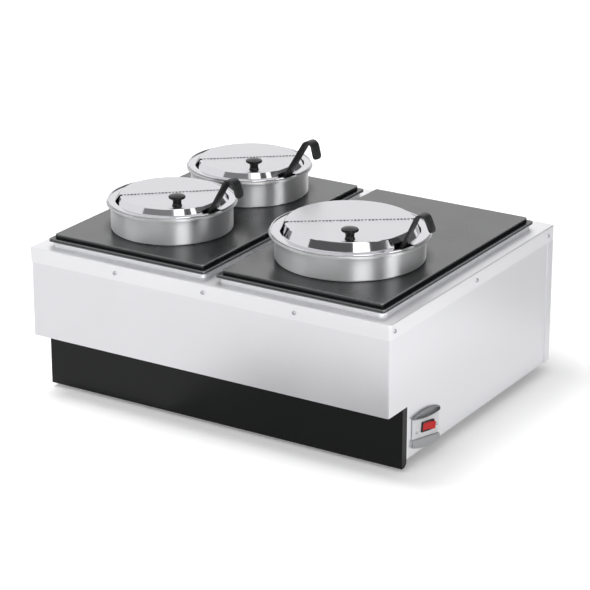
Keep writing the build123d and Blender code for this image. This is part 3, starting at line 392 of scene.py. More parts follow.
@dataclass(frozen=True)
class Moulding:
    """Moulded plastic, rubber or a sprayed coat with a fine surface texture.

    Where a contact distance is set, painted shade dims the gloss within that distance of what
    stands on the surface. Where a height is set for it, the surface is painted paler below that
    height, as painted light. Where an edge width is set, the edges get a pale painted highlight over
    that width, most where they look to the right.
    """

    name: str
    colour: Colour
    roughness: float
    texture: float = 0.5 * MM
    depth: float = 0.01 * MM
    roughness_swing: float = 0.04
    gloss: float = 0.5
    ior: float = 1.5
    texture_detail: float = 2.0
    cloud: float = 14.0
    cloud_detail: float = 4.0
    tone_span: Span = (0.92, 1.08)
    # Painted contact shade: reach of the dimmed gloss by what stands on it, and its falloff.
    contact_shade: float = 0.0
    contact_shade_fall: float = 3.0
    # Painted light: the surface is paler below this height, by the factor pale.
    painted_light_below: float = 0.0
    pale: float = 1.0
    # Painted edge highlight: its width, colour, and how it grows as the edge looks to the right.
    highlight_width: float = 0.0
    highlight_tone: Colour = (0.9, 0.91, 0.93)
    highlight_within: Span = (0.5, 0.9)
    highlight_turn: Span = (0.1, 0.4)
    highlight_share: Span = (0.3, 1.0)

    def build(self) -> bpy.types.Material:
        """Make the material.

        Returns:
            The material.
        """
        shader = Shader(self.name)
        shader.plain(Specular_IOR_Level=self.gloss, IOR=self.ior)
        grain = shader.noise(shader.place, 1 / self.texture, self.texture_detail)
        cloud = shader.noise(shader.place, self.cloud, self.cloud_detail)
        shader.dull(cloud, self.roughness, self.roughness_swing)
        colour = shader.tint(cloud, *tones(self.colour, self.tone_span))
        # Painted light: paler below a height.
        if self.painted_light_below:
            below = shader.math("LESS_THAN", shader.axis(shader.place, "Z"), self.painted_light_below)
            shader.tint(below, colour, shade(self.colour, self.pale))
        # Painted contact shade: the gloss dims with occlusion near what stands on the surface.
        if self.contact_shade:
            near = shader.add("ShaderNodeAmbientOcclusion", {"Distance": self.contact_shade})
            contact_shaded = shader.math("POWER", near.outputs["AO"], self.contact_shade_fall)
            shader.feed("Specular IOR Level", shader.math("MULTIPLY", contact_shaded, self.gloss))
        # Painted highlight on the edges.
        if self.highlight_width:
            shader.tint(self.edges(shader), colour, self.highlight_tone)
        shader.relief(grain, self.depth)
        return shader.material

    def edges(self, shader: Shader) -> Socket:
        """Painted highlight on the edges, strongest where they look to the right.

        Args:
            shader: Material under construction.

        Returns:
            Up to 1 at an edge, and 0 away from the edges.
        """
        settings = {"inside": True, "only_local": True}
        depth = shader.add("ShaderNodeAmbientOcclusion", {"Distance": self.highlight_width}, **settings)
        edge = shader.ramp(depth.outputs["AO"], self.highlight_within, (1.0, 0.0))
        rounded = shader.add("ShaderNodeBevel", {"Radius": self.highlight_width}).outputs["Normal"]
        share = shader.ramp(shader.axis(rounded, "X"), self.highlight_turn, self.highlight_share)
        return shader.math("MULTIPLY", edge, share)


@dataclass(frozen=True)
class FibreBoard:
    """Pressed mineral fibre or an unglazed ceramic body."""

    name: str
    colour: Colour
    fibre: float
    depth: float
    stretch: Point = (1.0, 0.25, 1.0)
    fibre_detail: float = 5.0
    roughness_span: Span = (0.8, 0.95)
    tone_span: Span = (0.85, 1.08)

    def build(self) -> bpy.types.Material:
        """Make the material.

        Returns:
            The material.
        """
        shader = Shader(self.name)
        fibres = shader.noise(shader.mapped(self.stretch), 1 / self.fibre, self.fibre_detail)
        shader.feed("Roughness", shader.spread(fibres, self.roughness_span))
        shader.tint(fibres, *tones(self.colour, self.tone_span))
        shader.relief(fibres, self.depth)
        return shader.material


@dataclass(frozen=True)
class WovenSleeve:
    """Braided glass sleeve of the wires inside."""

    name: str
    colour: Colour
    braid: float
    turn: Point = (0.8, 0.6, 0.4)
    distortion: float = 2.0
    depth_share: float = 0.25
    roughness_span: Span = (0.6, 0.85)
    tone_span: Span = (0.75, 1.0)

    def build(self) -> bpy.types.Material:
        """Make the material.

        Returns:
            The material.
        """
        shader = Shader(self.name)
        turned = shader.add("ShaderNodeMapping", {"Vector": shader.place, "Rotation": self.turn})
        inputs = {"Vector": turned.outputs[0], "Scale": 1 / self.braid, "Distortion": self.distortion}
        weave = shader.add("ShaderNodeTexWave", inputs, bands_direction="DIAGONAL").outputs["Fac"]
        shader.feed("Roughness", shader.spread(weave, self.roughness_span))
        shader.tint(weave, *tones(self.colour, self.tone_span))
        shader.relief(weave, self.braid * self.depth_share)
        return shader.material


BODY_STEEL = BrushedSteel("body_steel", (0.85, 0.85, 0.875), 0.36)
DECK_STEEL = BrushedSteel("deck_steel", (0.92, 0.92, 0.94), 0.48, Grain.ALONG_X)
INNER_STEEL = BrushedSteel("inner_steel", (0.58, 0.58, 0.59), 0.42)
WELL_STEEL = BrushedSteel("well_steel", (0.66, 0.66, 0.67), 0.3)
SCREW_STEEL = BrushedSteel("screw_steel", (0.62, 0.62, 0.64), 0.22, line=0.3 * MM)
ELEMENT_STEEL = BrushedSteel("element_steel", (0.24, 0.23, 0.225), 0.45)
THERMOSTAT_METAL = BrushedSteel("thermostat_metal", (0.72, 0.72, 0.71), 0.35)
LADLE_STEEL = BrushedSteel("ladle_steel", (0.76, 0.76, 0.77), 0.2)
INSET_STEEL = BrushedSteel(
    "inset_steel", (0.83, 0.835, 0.845), 0.5, Grain.ROUND, line=0.35 * MM, drawn_up=1.0
)
BLACK_PANEL = Moulding("black_panel", (0.002, 0.0026, 0.0032), 0.35, 0.6 * MM, 0.008 * MM, gloss=0.3)
# Adapter plates: painted contact shade by the pots and painted highlights on the edges.
PLATE_BLACK = Moulding(
    "plate_black",
    (0.006, 0.0068, 0.0076),
    roughness=0.25,
    texture=0.8 * MM,
    depth=0.012 * MM,
    gloss=1.0,
    ior=1.65,
    contact_shade=18 * MM,
    highlight_width=2.4 * MM,
)
FOOT_RUBBER = Moulding("foot_rubber", (0.022, 0.022, 0.022), 0.7, 0.5 * MM, 0.03 * MM)
BLACK_PLASTIC = Moulding("black_plastic", (0.012, 0.012, 0.013), 0.38, gloss=0.3)
# Painted light: the lower lid is painted paler, below 55 mm.
CONTROL_GREY = Moulding(
    "control_grey", (0.3, 0.308, 0.316), 0.4, 0.4 * MM, gloss=0.35, painted_light_below=55 * MM, pale=1.5
)
CONTROL_PALE = Moulding("control_pale", (0.86, 0.86, 0.88), 0.42, 0.4 * MM, 0.008 * MM)
ROCKER_RED = Moulding("rocker_red", (0.72, 0.012, 0.012), 0.3, 0.6 * MM, 0.004 * MM, gloss=0.2)
KNOB_BLACK = Moulding("knob_black", (0.005, 0.005, 0.0055), 0.2, 1.2 * MM, 0.006 * MM, gloss=0.25)
GRIP_BLACK = Moulding("grip_black", (0.012, 0.0125, 0.0135), 0.4, 0.55 * MM, 0.03 * MM, gloss=0.45)
INSULATION = FibreBoard("insulation_board", (0.78, 0.75, 0.68), 1.4 * MM, 0.2 * MM)
CERAMIC = FibreBoard("terminal_ceramic", (0.82, 0.8, 0.75), 0.7 * MM, 0.02 * MM)
WIRE_SLEEVE = WovenSleeve("wire_sleeve", (0.72, 0.69, 0.62), 0.9 * MM)


class Wardrobe:
    """Makes each finish once and puts it on nodes and pieces."""

    def __init__(self, nodes: dict[str, Piece]) -> None:
        """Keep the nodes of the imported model.

        Args:
            nodes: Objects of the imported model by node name.
        """
        self.nodes = nodes
        self.made: dict[Finish, bpy.types.Material] = {}

    def put_on(self, piece: Piece, finish: Finish) -> None:
        """Give a piece one finish all over.

        Args:
            piece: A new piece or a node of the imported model.
            finish: The finish.
        """
        if finish not in self.made:
            self.made[finish] = finish.build()
        piece.data.materials.clear()
        piece.data.materials.append(self.made[finish])

    def dress(self, finish: Finish, *names: str) -> None:
        """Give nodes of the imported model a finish.

        Args:
            finish: The finish.
            *names: Node names.
        """
        for name in names:
            self.put_on(self.nodes[name], finish)
            LOG.info("%s: %s", name, finish.name)

    def install(self, piece: Piece, finish: Finish, node: str, body: str) -> None:
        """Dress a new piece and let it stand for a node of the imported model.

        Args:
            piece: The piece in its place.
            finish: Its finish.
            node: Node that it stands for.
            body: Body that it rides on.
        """
        self.put_on(piece, finish)
        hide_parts(node)
        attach(piece, body)
        LOG.info("%s: %s, %d faces", piece.name, finish.name, len(piece.data.polygons))


class Bench:
    """Modelling steps that the pieces share."""

    @staticmethod
    def clear_selection() -> None:
        """Leave nothing selected."""
        bpy.ops.object.select_all(action="DESELECT")

    @staticmethod
    def choose(*pieces: Piece) -> None:
        """Select some pieces alone, and make the first of them active.

        Args:
            *pieces: The pieces.
        """
        Bench.clear_selection()
        for piece in pieces:
            piece.select_set(True)
        bpy.context.view_layer.objects.active = pieces[0]

    @staticmethod
    def named(name: str) -> Piece:
        """Name the object that was just added.

        Args:
            name: Its name.

        Returns:
            The object.
        """
        piece = bpy.context.object
        piece.name = name
        return piece

    @staticmethod
    def edit(piece: Piece, element: Element) -> None:
        """Open a piece in edit mode, where it isn't open yet, with nothing selected.

        Args:
            piece: The piece.
            element: What is selected there.
        """
        if bpy.context.mode == "OBJECT":
            Bench.choose(piece)
            bpy.ops.object.mode_set(mode="EDIT")
        bpy.ops.mesh.select_mode(type=element.value)
        bpy.ops.mesh.select_all(action="DESELECT")

    @staticmethod
    def close() -> None:
        """Go back to object mode."""
        bpy.ops.object.mode_set(mode="OBJECT")

    @staticmethod
    def pick_faces(piece: Piece, centre: Vector, normal: Vector, reach: float) -> None:
        """Select the faces near a point that look one way, in edit mode.

        Args:
            piece: The piece.
            centre: Point on the face.
            normal: Direction that the face looks.
            reach: Largest distance of the face's middle from the point.
        """
        Bench.edit(piece, Element.FACE)
        Bench.close()
        for face in piece.data.polygons:
            near = (face.center - centre).length < reach
            face.select = near and face.normal.dot(normal) > SAME_WAY
        bpy.ops.object.mode_set(mode="EDIT")

    @staticmethod
    def pick_edges(piece: Piece, points: list[Vector], reach: float) -> None:
        """Select the edges whose middles are near some points, in edit mode.

        Args:
            piece: The piece.
            points: Points to look near.
            reach: Largest distance of an edge's middle from a point.
        """
        Bench.edit(piece, Element.EDGE)
        Bench.close()
        corners = piece.data.vertices
        for edge in piece.data.edges:
            first, last = (corners[index].co for index in edge.vertices)
            middle = (first + last) / 2
            edge.select = any((middle - point).length < reach for point in points)
        bpy.ops.object.mode_set(mode="EDIT")

    @staticmethod
    def extrude(move: Any) -> None:
        """Draw out what is selected in edit mode by a vector."""
        bpy.ops.mesh.extrude_region_move(TRANSFORM_OT_translate={"value": move})

    @staticmethod
    def mend() -> None:
        """Merge doubled points and turn all faces outwards, in edit mode."""
        bpy.ops.mesh.select_all(action="SELECT")
        bpy.ops.mesh.remove_doubles(threshold=MERGE_DISTANCE)
        bpy.ops.mesh.normals_make_consistent(inside=False)

    @staticmethod
    def apply(piece: Piece, modifier: bpy.types.Modifier) -> None:
        """Apply a modifier to a piece."""
        Bench.choose(piece)
        bpy.ops.object.modifier_apply(modifier=modifier.name)

    @staticmethod
    def soften(piece: Piece, width: float, segments: int) -> None:
        """Round the sharp edges of a piece.

        Args:
            piece: The piece.
            width: Width of the rounding.
            segments: Faces across it.
        """
        bevel = piece.modifiers.new("edges", "BEVEL")
        bevel.width = width
        bevel.segments = segments
        bevel.limit_method = "ANGLE"
        bevel.angle_limit = math.radians(SHARP_ANGLE)
        Bench.apply(piece, bevel)

    @staticmethod
    def smooth(piece: Piece) -> None:
        """Shade a piece smooth up to its sharp edges."""
        Bench.choose(piece)
        bpy.ops.object.shade_smooth_by_angle(angle=math.radians(SHARP_ANGLE))

    @staticmethod
    def settle(piece: Piece, place: Matrix) -> None:
        """Put a piece modelled about the origin in its place, and keep the place in its mesh."""
        piece.data.transform(place)
        piece.matrix_world = Matrix.Identity(4)

    @staticmethod
    def join(pieces: list[Piece], name: str) -> Piece:
        """Join pieces into one.

        Args:
            pieces: The pieces.
            name: Name of the joined piece.

        Returns:
            The joined piece.
        """
        Bench.choose(*pieces)
        bpy.ops.object.join()
        return Bench.named(name)

    @staticmethod
    def box(name: str, size: Point, place: Matrix) -> Piece:
        """Box of a size at a place.

        Args:
            name: Name of the piece.
            size: Its three sides.
            place: Place of its middle.

        Returns:
            The box.
        """
        Bench.clear_selection()
        bpy.ops.mesh.primitive_cube_add(size=1.0)
        piece = Bench.named(name)
        Bench.settle(piece, place @ Matrix.Diagonal((*size, 1.0)))
        return piece

    @staticmethod
    def combine(piece: Piece, tool: Piece, cut: Cut) -> None:
        """Cut a piece with a tool, or add the tool to it, and remove the tool.

        Args:
            piece: The piece.
            tool: The other object.
            cut: What the tool does.
        """
        boolean = piece.modifiers.new("boolean", "BOOLEAN")
        boolean.operation = cut.value
        boolean.object = tool
        Bench.apply(piece, boolean)
        bpy.data.objects.remove(tool)


def facing(point: Point, outward: Point) -> Matrix:
    """Place whose Z axis points outward from a point."""
    turn = Vector(outward).to_track_quat("Z", "Y").to_matrix().to_4x4()
    return Matrix.Translation(point) @ turn


@dataclass
class CrossScrew:
    """Pan-head screw with a cross recess."""

    head: float
    height: float = 1.98 * MM
    crown: float = 0.6
    crown_steps: int = 5
    shank: float = 1.9 * MM
    length: float = 7.5 * MM
    recess: float = 0.62
    slot: float = 0.2
    recess_depth: float = 1.1 * MM
    sides: int = 40

    def cutter(self) -> Piece:
        """Model the cross that cuts the recess.

        Returns:
            The cross at the top of the head.
        """
        size = (2 * self.head * self.recess, 2 * self.head * self.slot, 2 * self.recess_depth)
        top = Matrix.Translation((0.0, 0.0, self.height))
        cross, arm = (
            Bench.box("cross", size, top @ Matrix.Rotation(turn, 4, "Z")) for turn in (0.0, math.pi / 2)
        )
        Bench.combine(cross, arm, Cut.ADD)
        return cross

    def build(self, name: str) -> Piece:
        """Model the screw with its head above the origin.

        Args:
            name: Name of the piece.

        Returns:
            The screw.
        """
        Bench.clear_selection()
        bpy.ops.mesh.primitive_cylinder_add(vertices=self.sides, radius=self.head, depth=self.height)
        screw = Bench.named(name)
        screw.data.transform(Matrix.Translation(UP * self.height / 2))
        Bench.pick_faces(screw, UP * self.height, UP, self.head * NEAR)
        bpy.ops.mesh.bevel(offset=self.height * self.crown, segments=self.crown_steps, affect="EDGES")
        Bench.pick_faces(screw, Vector(), -UP, self.head * NEAR)
        bpy.ops.mesh.inset(thickness=self.head - self.shank)
        Bench.extrude((0.0, 0.0, -self.length))
        Bench.close()
        Bench.combine(screw, self.cutter(), Cut.REMOVE)
        Bench.smooth(screw)
        return screw

    def row(self, name: str, places: list[Matrix]) -> Piece:
        """Copies of the screw at several places, as one piece.

        Args:
            name: Name of the piece.
            places: Place of each head's underside.

        Returns:
            The piece.
        """
        first = self.build(name)
        copies = []
        for place in places:
            copy = first.copy()
            copy.data = first.data.copy()
            bpy.context.scene.collection.objects.link(copy)
            Bench.settle(copy, place)
            copies.append(copy)
        bpy.data.objects.remove(first)
        return Bench.join(copies, name)


@dataclass
class Housing:
    """Steel body, its inner works and its screws."""

    half_width: float = 359.0 * MM
    half_depth: float = 293.0 * MM
    screw_head: float = 3.8 * MM
    screw_height: float = 263.0 * MM
    front_screws: tuple[float, ...] = (-179.0 * MM, 0.0, 179.0 * MM)
    side_screws: tuple[float, ...] = (-278.0 * MM, 0.0, 268.0 * MM)
    rear_face: float = 292.7 * MM
    rear_x: float = 349.5 * MM
    rear_heights: tuple[float, ...] = (50.25 * MM, 135.25 * MM, 220.25 * MM)

    def deck_places(self) -> list[Matrix]:
        """Find the places of the screws round the deck's skirt.

        Returns:
            A place for each screw.
        """
        places = []
        for end in (-1, 1):
            for x in self.front_screws:
                places.append(facing((x, end * self.half_depth, self.screw_height), (0, end, 0)))
            for y in self.side_screws:
                places.append(facing((end * self.half_width, y, self.screw_height), (end, 0, 0)))
        return places

    def rear_places(self) -> list[Matrix]:
        """Places of the screws in the back panel."""
        points = [(end * self.rear_x, self.rear_face, z) for end in (-1, 1) for z in self.rear_heights]
        return [facing(point, (0, 1, 0)) for point in points]

    def build(self, wardrobe: Wardrobe) -> None:
        """Model the screws and dress the body.

        Args:
            wardrobe: Finishes.
        """
        screw = CrossScrew(self.screw_head)
        for node, places in (("deck_screws", self.deck_places()), ("rear_screws", self.rear_places())):
            wardrobe.install(screw.row(f"{node}_cross", places), SCREW_STEEL, node, "housing")
        self.dress(wardrobe)

    def dress(self, wardrobe: Wardrobe) -> None:
        """Put the finishes on the body and what is inside it.

        Args:
            wardrobe: Finishes.
        """
        wardrobe.dress(BODY_STEEL, "body_wrap", "rear_panel")
        wardrobe.dress(DECK_STEEL, "top_deck")
        wardrobe.dress(BLACK_PANEL, "toe_panel")
        wardrobe.dress(INNER_STEEL, "base_pan")
        wardrobe.dress(FOOT_RUBBER, "feet")
        wardrobe.dress(SCREW_STEEL, "foot_screws")
        wardrobe.dress(BLACK_PLASTIC, "cord_gland")
        wardrobe.dress(CERAMIC, "terminal_block")
        wardrobe.dress(WIRE_SLEEVE, "wiring")


@dataclass(frozen=True)
class Bow:
    """Bowed edge of the control plate.

    Heights of its front end, of the point that pulls its middle, and of its back end.
    """

    front: float
    pull: float
    back: float

    def lifted(self, rise: float) -> "Bow":
        """The same edge a little higher or lower."""
        return Bow(self.front + rise, self.pull + rise, self.back + rise)


@dataclass
class Controls:
    """Control plate on the right side: two lids, a pale face between them and a sloping switch."""

    wall: float = 357.5 * MM
    front: float = -214.5 * MM
    back: float = -126.5 * MM
    swell: float = 4.0 * MM
    upper_top: Bow = Bow(88.5 * MM, 97.5 * MM, 81.2 * MM)
    upper_low: Bow = Bow(85.5 * MM, 70.7 * MM, 72.2 * MM)
    lower_top: Bow = Bow(49.5 * MM, 40.6 * MM, 31.9 * MM)
    lower_low: Bow = Bow(34.5 * MM, 18.0 * MM, 21.5 * MM)
    curve_steps: int = 20
    edge_steps: int = 4
    plate: float = 1.0 * MM
    lid: float = 4.4 * MM
    lid_edge: float = 2.1 * MM
    face: float = 1.2 * MM
    gap: float = 0.3 * MM
    slope: float = -10.5
    switch: Point = (361.0 * MM, -166.0 * MM, 58.6 * MM)
    switch_length: float = 40.0 * MM
    switch_height: float = 17.0 * MM
    switch_rim: float = 1.5 * MM
    switch_proud: float = 1.6 * MM
    switch_depth: float = 9.0 * MM
    switch_steps: int = 2
    hole_depth: float = 4.8 * MM
    body: Point = (18.0 * MM, 36.0 * MM, 13.0 * MM)
    blade: Point = (9.0 * MM, 0.8 * MM, 6.3 * MM)
    blade_places: tuple[float, ...] = (-10.0 * MM, 0.0, 10.0 * MM)
    rocker_length: float = 35.2 * MM
    rocker_height: float = 12.8 * MM
    rocker_edge: float = 3.6 * MM
    rocker_valley: float = 0.6 * MM
    rocker_keel: float = 0.4 * MM
    rocker_tilt: float = -9.0
    rocker_steps: int = 3
    screw_head: float = 2.4 * MM
    screws: tuple[tuple[float, float], ...] = ((-202.5 * MM, 58.5 * MM), (-135.0 * MM, 50.0 * MM))

    def shaped(self, name: str, top: Bow, low: Bow, base: float, height: float, edge: float) -> Piece:
        """Plate between two bowed edges, drawn as a curve.

        Args:
            name: Name of the piece.
            top: Upper edge.
            low: Lower edge.
            base: Distance of its back from the wall.
            height: Thickness.
            edge: Rounding of its edges.

        Returns:
            The plate on the wall.
        """
        Bench.clear_selection()
        bpy.ops.curve.primitive_bezier_circle_add()
        drawing = Bench.named(name).data
        drawing.dimensions = "2D"
        drawing.fill_mode = "BOTH"
        drawing.resolution_u = self.curve_steps
        drawing.extrude = height / 2 - edge
        drawing.bevel_depth = edge
        drawing.bevel_resolution = self.edge_steps
        drawing.offset = -edge
        self.bend(drawing.splines[0].bezier_points, top, low)
        bpy.ops.object.convert(target="MESH")
        piece = bpy.context.object
        Bench.edit(piece, Element.POINT)
        Bench.mend()
        Bench.close()
        Bench.smooth(piece)
        out = self.wall + base + height / 2
        Bench.settle(piece, Matrix.Translation((out, 0.0, 0.0)) @ ON_SIDE)
        return piece

    def bend(self, points: Any, top: Bow, low: Bow) -> None:
        """Pull the four points of a closed curve to the corners of a bowed plate.

        Args:
            points: Points of the curve.
            top: Upper edge.
            low: Lower edge.
        """
        over = [(self.front, top.front), (self.back, top.back)]
        under = [(self.back, low.back), (self.front, low.front)]
        corners = [Vector((*end, 0.0)) for end in over + under]
        middle = (self.front + self.back) / 2
        above, below = Vector((middle, top.pull, 0.0)), Vector((middle, low.pull, 0.0))
        behind = Vector((self.back + self.swell, (top.back + low.back) / 2, 0.0))
        before = (corners[3] + corners[0]) / 2
        pulls = [above, behind, below, before]
        for index, (point, corner) in enumerate(zip(points, corners)):
            point.handle_left_type = "FREE"
            point.handle_right_type = "FREE"
            point.co = corner
            point.handle_left = corner.lerp(pulls[index - 1], HANDLE_SHARE)
            point.handle_right = corner.lerp(pulls[index], HANDLE_SHARE)

    def tilted(self, tilt: float = 0.0) -> Matrix:
        """Place of the switch: X out of the wall, Y along the sloping switch and Z across it."""
        sloping = Matrix.Rotation(math.radians(self.slope), 4, "X")
        return Matrix.Translation(self.switch) @ sloping @ Matrix.Rotation(math.radians(tilt), 4, "Z")

    def make_plate(self) -> Piece:
        """Model the base plate with its two lids.

        Returns:
            The plate.
        """
        outline = (self.upper_top, self.lower_low)
        pieces = [self.shaped("control_plate", *outline, 0.0, self.plate, self.gap)]
        inset = self.gap / 2
        for top, low in ((self.upper_top, self.upper_low), (self.lower_top, self.lower_low)):
            edges = (top.lifted(-inset), low.lifted(inset))
            pieces.append(self.shaped("lid", *edges, self.plate, self.lid, self.lid_edge))
        return Bench.join(pieces, "control_plate")

    def make_face(self) -> Piece:
        """Model the pale face with the switch's opening.

        Returns:
            The face.
        """
        top, low = self.upper_low.lifted(-self.gap), self.lower_top.lifted(self.gap)
        face = self.shaped("pale_face", top, low, self.plate, self.face, self.gap)
        size = (self.hole_depth, self.switch_length + 2 * self.gap, self.switch_height + 2 * self.gap)
        shift = (self.wall + self.plate + self.face / 2 - self.switch[0], 0.0, 0.0)
        hole = Bench.box("hole", size, self.tilted() @ Matrix.Translation(shift))
        Bench.combine(face, hole, Cut.REMOVE)
        return face

    def make_switch(self) -> Piece:
        """Model the switch's rim with its recess, its body and its blades.

        Returns:
            The switch.
        """
        size = (self.switch_depth, self.switch_length, self.switch_height)
        rim = Bench.box("switch_rim", size, Matrix.Identity(4))
        front = Vector((self.switch_depth / 2, 0.0, 0.0))
        Bench.pick_faces(rim, front, front.normalized(), self.switch_rim)
        bpy.ops.mesh.inset(thickness=self.switch_rim)
        Bench.extrude((self.switch_rim - self.switch_depth, 0.0, 0.0))
        Bench.close()
        Bench.soften(rim, self.gap, self.switch_steps)
        shift = self.switch_proud - self.switch_depth / 2
        Bench.settle(rim, self.tilted() @ Matrix.Translation((shift, 0.0, 0.0)))
        pieces = [rim]
        x, y, z = self.switch
        back = x + self.switch_proud - self.switch_depth
        middle = Matrix.Translation((back - self.body[0] / 2, y, z))
        pieces.append(Bench.box("switch_body", self.body, middle))
        for along in self.blade_places:
            place = Matrix.Translation((back - self.body[0] - self.blade[0] / 2, y + along, z))
            pieces.append(Bench.box("switch_blade", self.blade, place))
        return Bench.join(pieces, "tilted_switch")

    def make_rocker(self) -> Piece:
        """Model the rocker with a valley across its middle, at rest with its rear end out.

        Returns:
            The rocker.
        """
        Bench.clear_selection()
        bpy.ops.mesh.primitive_grid_add(x_subdivisions=2, y_subdivisions=1, size=1.0)
        rocker = Bench.named("red_rocker")
        size = Matrix.Diagonal((self.rocker_length, self.rocker_height, 1.0, 1.0))
        rocker.data.transform(Matrix.Translation((-self.rocker_keel, 0.0, 0.0)) @ ON_SIDE @ size)
        Bench.edit(rocker, Element.FACE)
        bpy.ops.mesh.select_all(action="SELECT")
        Bench.extrude((self.rocker_keel + self.rocker_edge, 0.0, 0.0))
        Bench.mend()
        Bench.pick_edges(rocker, [Vector((self.rocker_edge, 0.0, 0.0))], self.switch_rim)
        bpy.ops.transform.translate(value=(self.rocker_valley - self.rocker_edge, 0.0, 0.0))
        Bench.close()
        Bench.soften(rocker, self.gap, self.rocker_steps)
        Bench.smooth(rocker)
        Bench.settle(rocker, self.tilted(self.rocker_tilt))
        return rocker

    def build(self, wardrobe: Wardrobe) -> None:
        """Model and dress the plate, its face, the switch with its rocker and the small screws.

        Args:
            wardrobe: Finishes.
        """
        out = self.wall + self.plate + self.face
        places = [facing((out, y, z), (1, 0, 0)) for y, z in self.screws]
        heads = CrossScrew(self.screw_head).row("control_screws_cross", places)
        wardrobe.install(self.make_plate(), CONTROL_GREY, "control_bezel", "housing")
        wardrobe.install(self.make_face(), CONTROL_PALE, "control_face", "housing")
        wardrobe.install(self.make_switch(), BLACK_PLASTIC, "switch_housing", "housing")
        wardrobe.install(self.make_rocker(), ROCKER_RED, "rocker", "rocker")
        wardrobe.install(heads, SCREW_STEEL, "control_screws", "housing")


@dataclass
class Well:
    """One well with its heating and its adapter plate."""

    side: str

    def dress(self, wardrobe: Wardrobe) -> None:
        """Put the finishes on the well.

        Args:
            wardrobe: Finishes.
        """
        wardrobe.dress(WELL_STEEL, f"{self.side}_well")
        wardrobe.dress(ELEMENT_STEEL, f"{self.side}_heating_element")
        wardrobe.dress(INNER_STEEL, f"{self.side}_element_clamps", f"{self.side}_heat_shield")
        wardrobe.dress(INSULATION, f"{self.side}_insulation")
        wardrobe.dress(THERMOSTAT_METAL, f"{self.side}_thermostat")
        wardrobe.dress(PLATE_BLACK, f"{self.side}_adapter_plate")


@dataclass
class Grip:
    """Moulded ladle grip: a flat bar bent over into a hook with a pointed end."""

    seat: Point
    turn: float
    lean: float
    reach: float
    width: float = 20.5 * MM
    thickness: float = 4.0 * MM
    below: float = 46.0 * MM
    hook_radius: float = 10.88 * MM
    hook_turn: float = 132.4
    hook_leg: float = 22.2 * MM
    hook_point: float = 7.0 * MM
    hook_steps: int = 18
    point_steps: int = 4
    panel_margin: float = 2.6 * MM
    panel_rise: float = 0.7 * MM
    edge: float = 0.9 * MM
    edge_steps: int = 3

    def place(self) -> Matrix:
        """Find the place of the bar: Z up along the handle, X out of its outer face.

        Returns:
            The place.
        """
        around = Matrix.Rotation(math.radians(self.turn), 4, "Z")
        leaning = Matrix.Rotation(math.radians(self.lean), 4, "Y")
        return Matrix.Translation(self.seat) @ around @ leaning

    def build(self, name: str) -> Piece:
        """Model the grip.

        Args:
            name: Name of the piece.

        Returns:
            The grip in its place.
        """
        Bench.clear_selection()
        bpy.ops.mesh.primitive_plane_add(size=1.0)
        grip = Bench.named(name)
        section = Matrix.Diagonal((self.thickness, self.width, 1.0, 1.0))
        grip.data.transform(Matrix.Translation((0.0, 0.0, -self.below)) @ section)
        turn = math.radians(self.hook_turn)
        pivot = Vector((self.hook_radius, 0.0, self.reach))
        outward = Vector((-math.cos(turn), 0.0, math.sin(turn)))
        leg = Vector((math.sin(turn), 0.0, math.cos(turn))) * self.hook_leg
        bend_end = pivot + self.hook_radius * outward
        Bench.edit(grip, Element.FACE)
        bpy.ops.mesh.select_all(action="SELECT")
        Bench.extrude((0.0, 0.0, self.below + self.reach))
        bpy.ops.mesh.spin(steps=self.hook_steps, angle=-turn, center=pivot, axis=(0.0, 1.0, 0.0))
        Bench.extrude(leg)
        Bench.mend()
        self.point_tip(grip, bend_end + leg)
        self.raise_panel(grip, bend_end + leg / 2, outward)
        Bench.close()
        Bench.soften(grip, self.edge, self.edge_steps)
        Bench.smooth(grip)
        Bench.settle(grip, self.place())
        return grip

    def point_tip(self, grip: Piece, tip: Vector) -> None:
        """Round the corners of the hook's end to a blunt point.

        Args:
            grip: The grip, in edit mode.
            tip: Middle of the hook's end.
        """
        half = Vector((0.0, self.width / 2, 0.0))
        Bench.pick_edges(grip, [tip - half, tip + half], self.thickness * NEAR)
        bpy.ops.mesh.bevel(offset=self.hook_point, segments=self.point_steps, affect="EDGES")

    def raise_panel(self, grip: Piece, middle: Vector, outward: Vector) -> None:
        """Raise a panel on the outer face of the hook's leg.

        Args:
            grip: The grip, in edit mode.
            middle: Middle of the leg.
            outward: Direction out of that face.
        """
        face = middle + outward * self.thickness / 2
        Bench.pick_faces(grip, face, outward, self.hook_leg * NEAR)
        bpy.ops.mesh.inset(thickness=self.panel_margin)
        Bench.extrude(self.panel_rise * outward)


@dataclass
class Pot:
    """Inset with its hinged cover, its knob and its ladle."""

    name: str
    centre: Point
    cover_radius: float
    cover_turn: float
    grip: Grip

    def build(self, wardrobe: Wardrobe) -> None:
        """Model the ladle's grip and dress the pot.

        Args:
            wardrobe: Finishes.
        """
        grip = self.grip.build(f"{self.name}_moulded_grip")
        wardrobe.install(grip, GRIP_BLACK, f"{self.name}_ladle_grip", f"{self.name}_ladle_body")
        self.dress(wardrobe)

    def dress(self, wardrobe: Wardrobe) -> None:
        """Put the finishes on the inset, the cover and the ladle.

        Args:
            wardrobe: Finishes.
        """
        inset = replace(INSET_STEEL, name=f"{self.name}_inset_steel", centre=self.centre)
        wardrobe.dress(inset, f"{self.name}_inset")
        sizes = (self.centre, self.cover_radius, self.cover_turn)
        cover = CoverSteel(f"{self.name}_cover_steel", *sizes)
        leaves = (f"{self.name}_cover_rear", f"{self.name}_cover_flap")
        wardrobe.dress(cover, *leaves, f"{self.name}_hinge_pin")
        wardrobe.dress(KNOB_BLACK, f"{self.name}_knob")
        wardrobe.dress(SCREW_STEEL, f"{self.name}_knob_screw")
        wardrobe.dress(LADLE_STEEL, f"{self.name}_ladle")


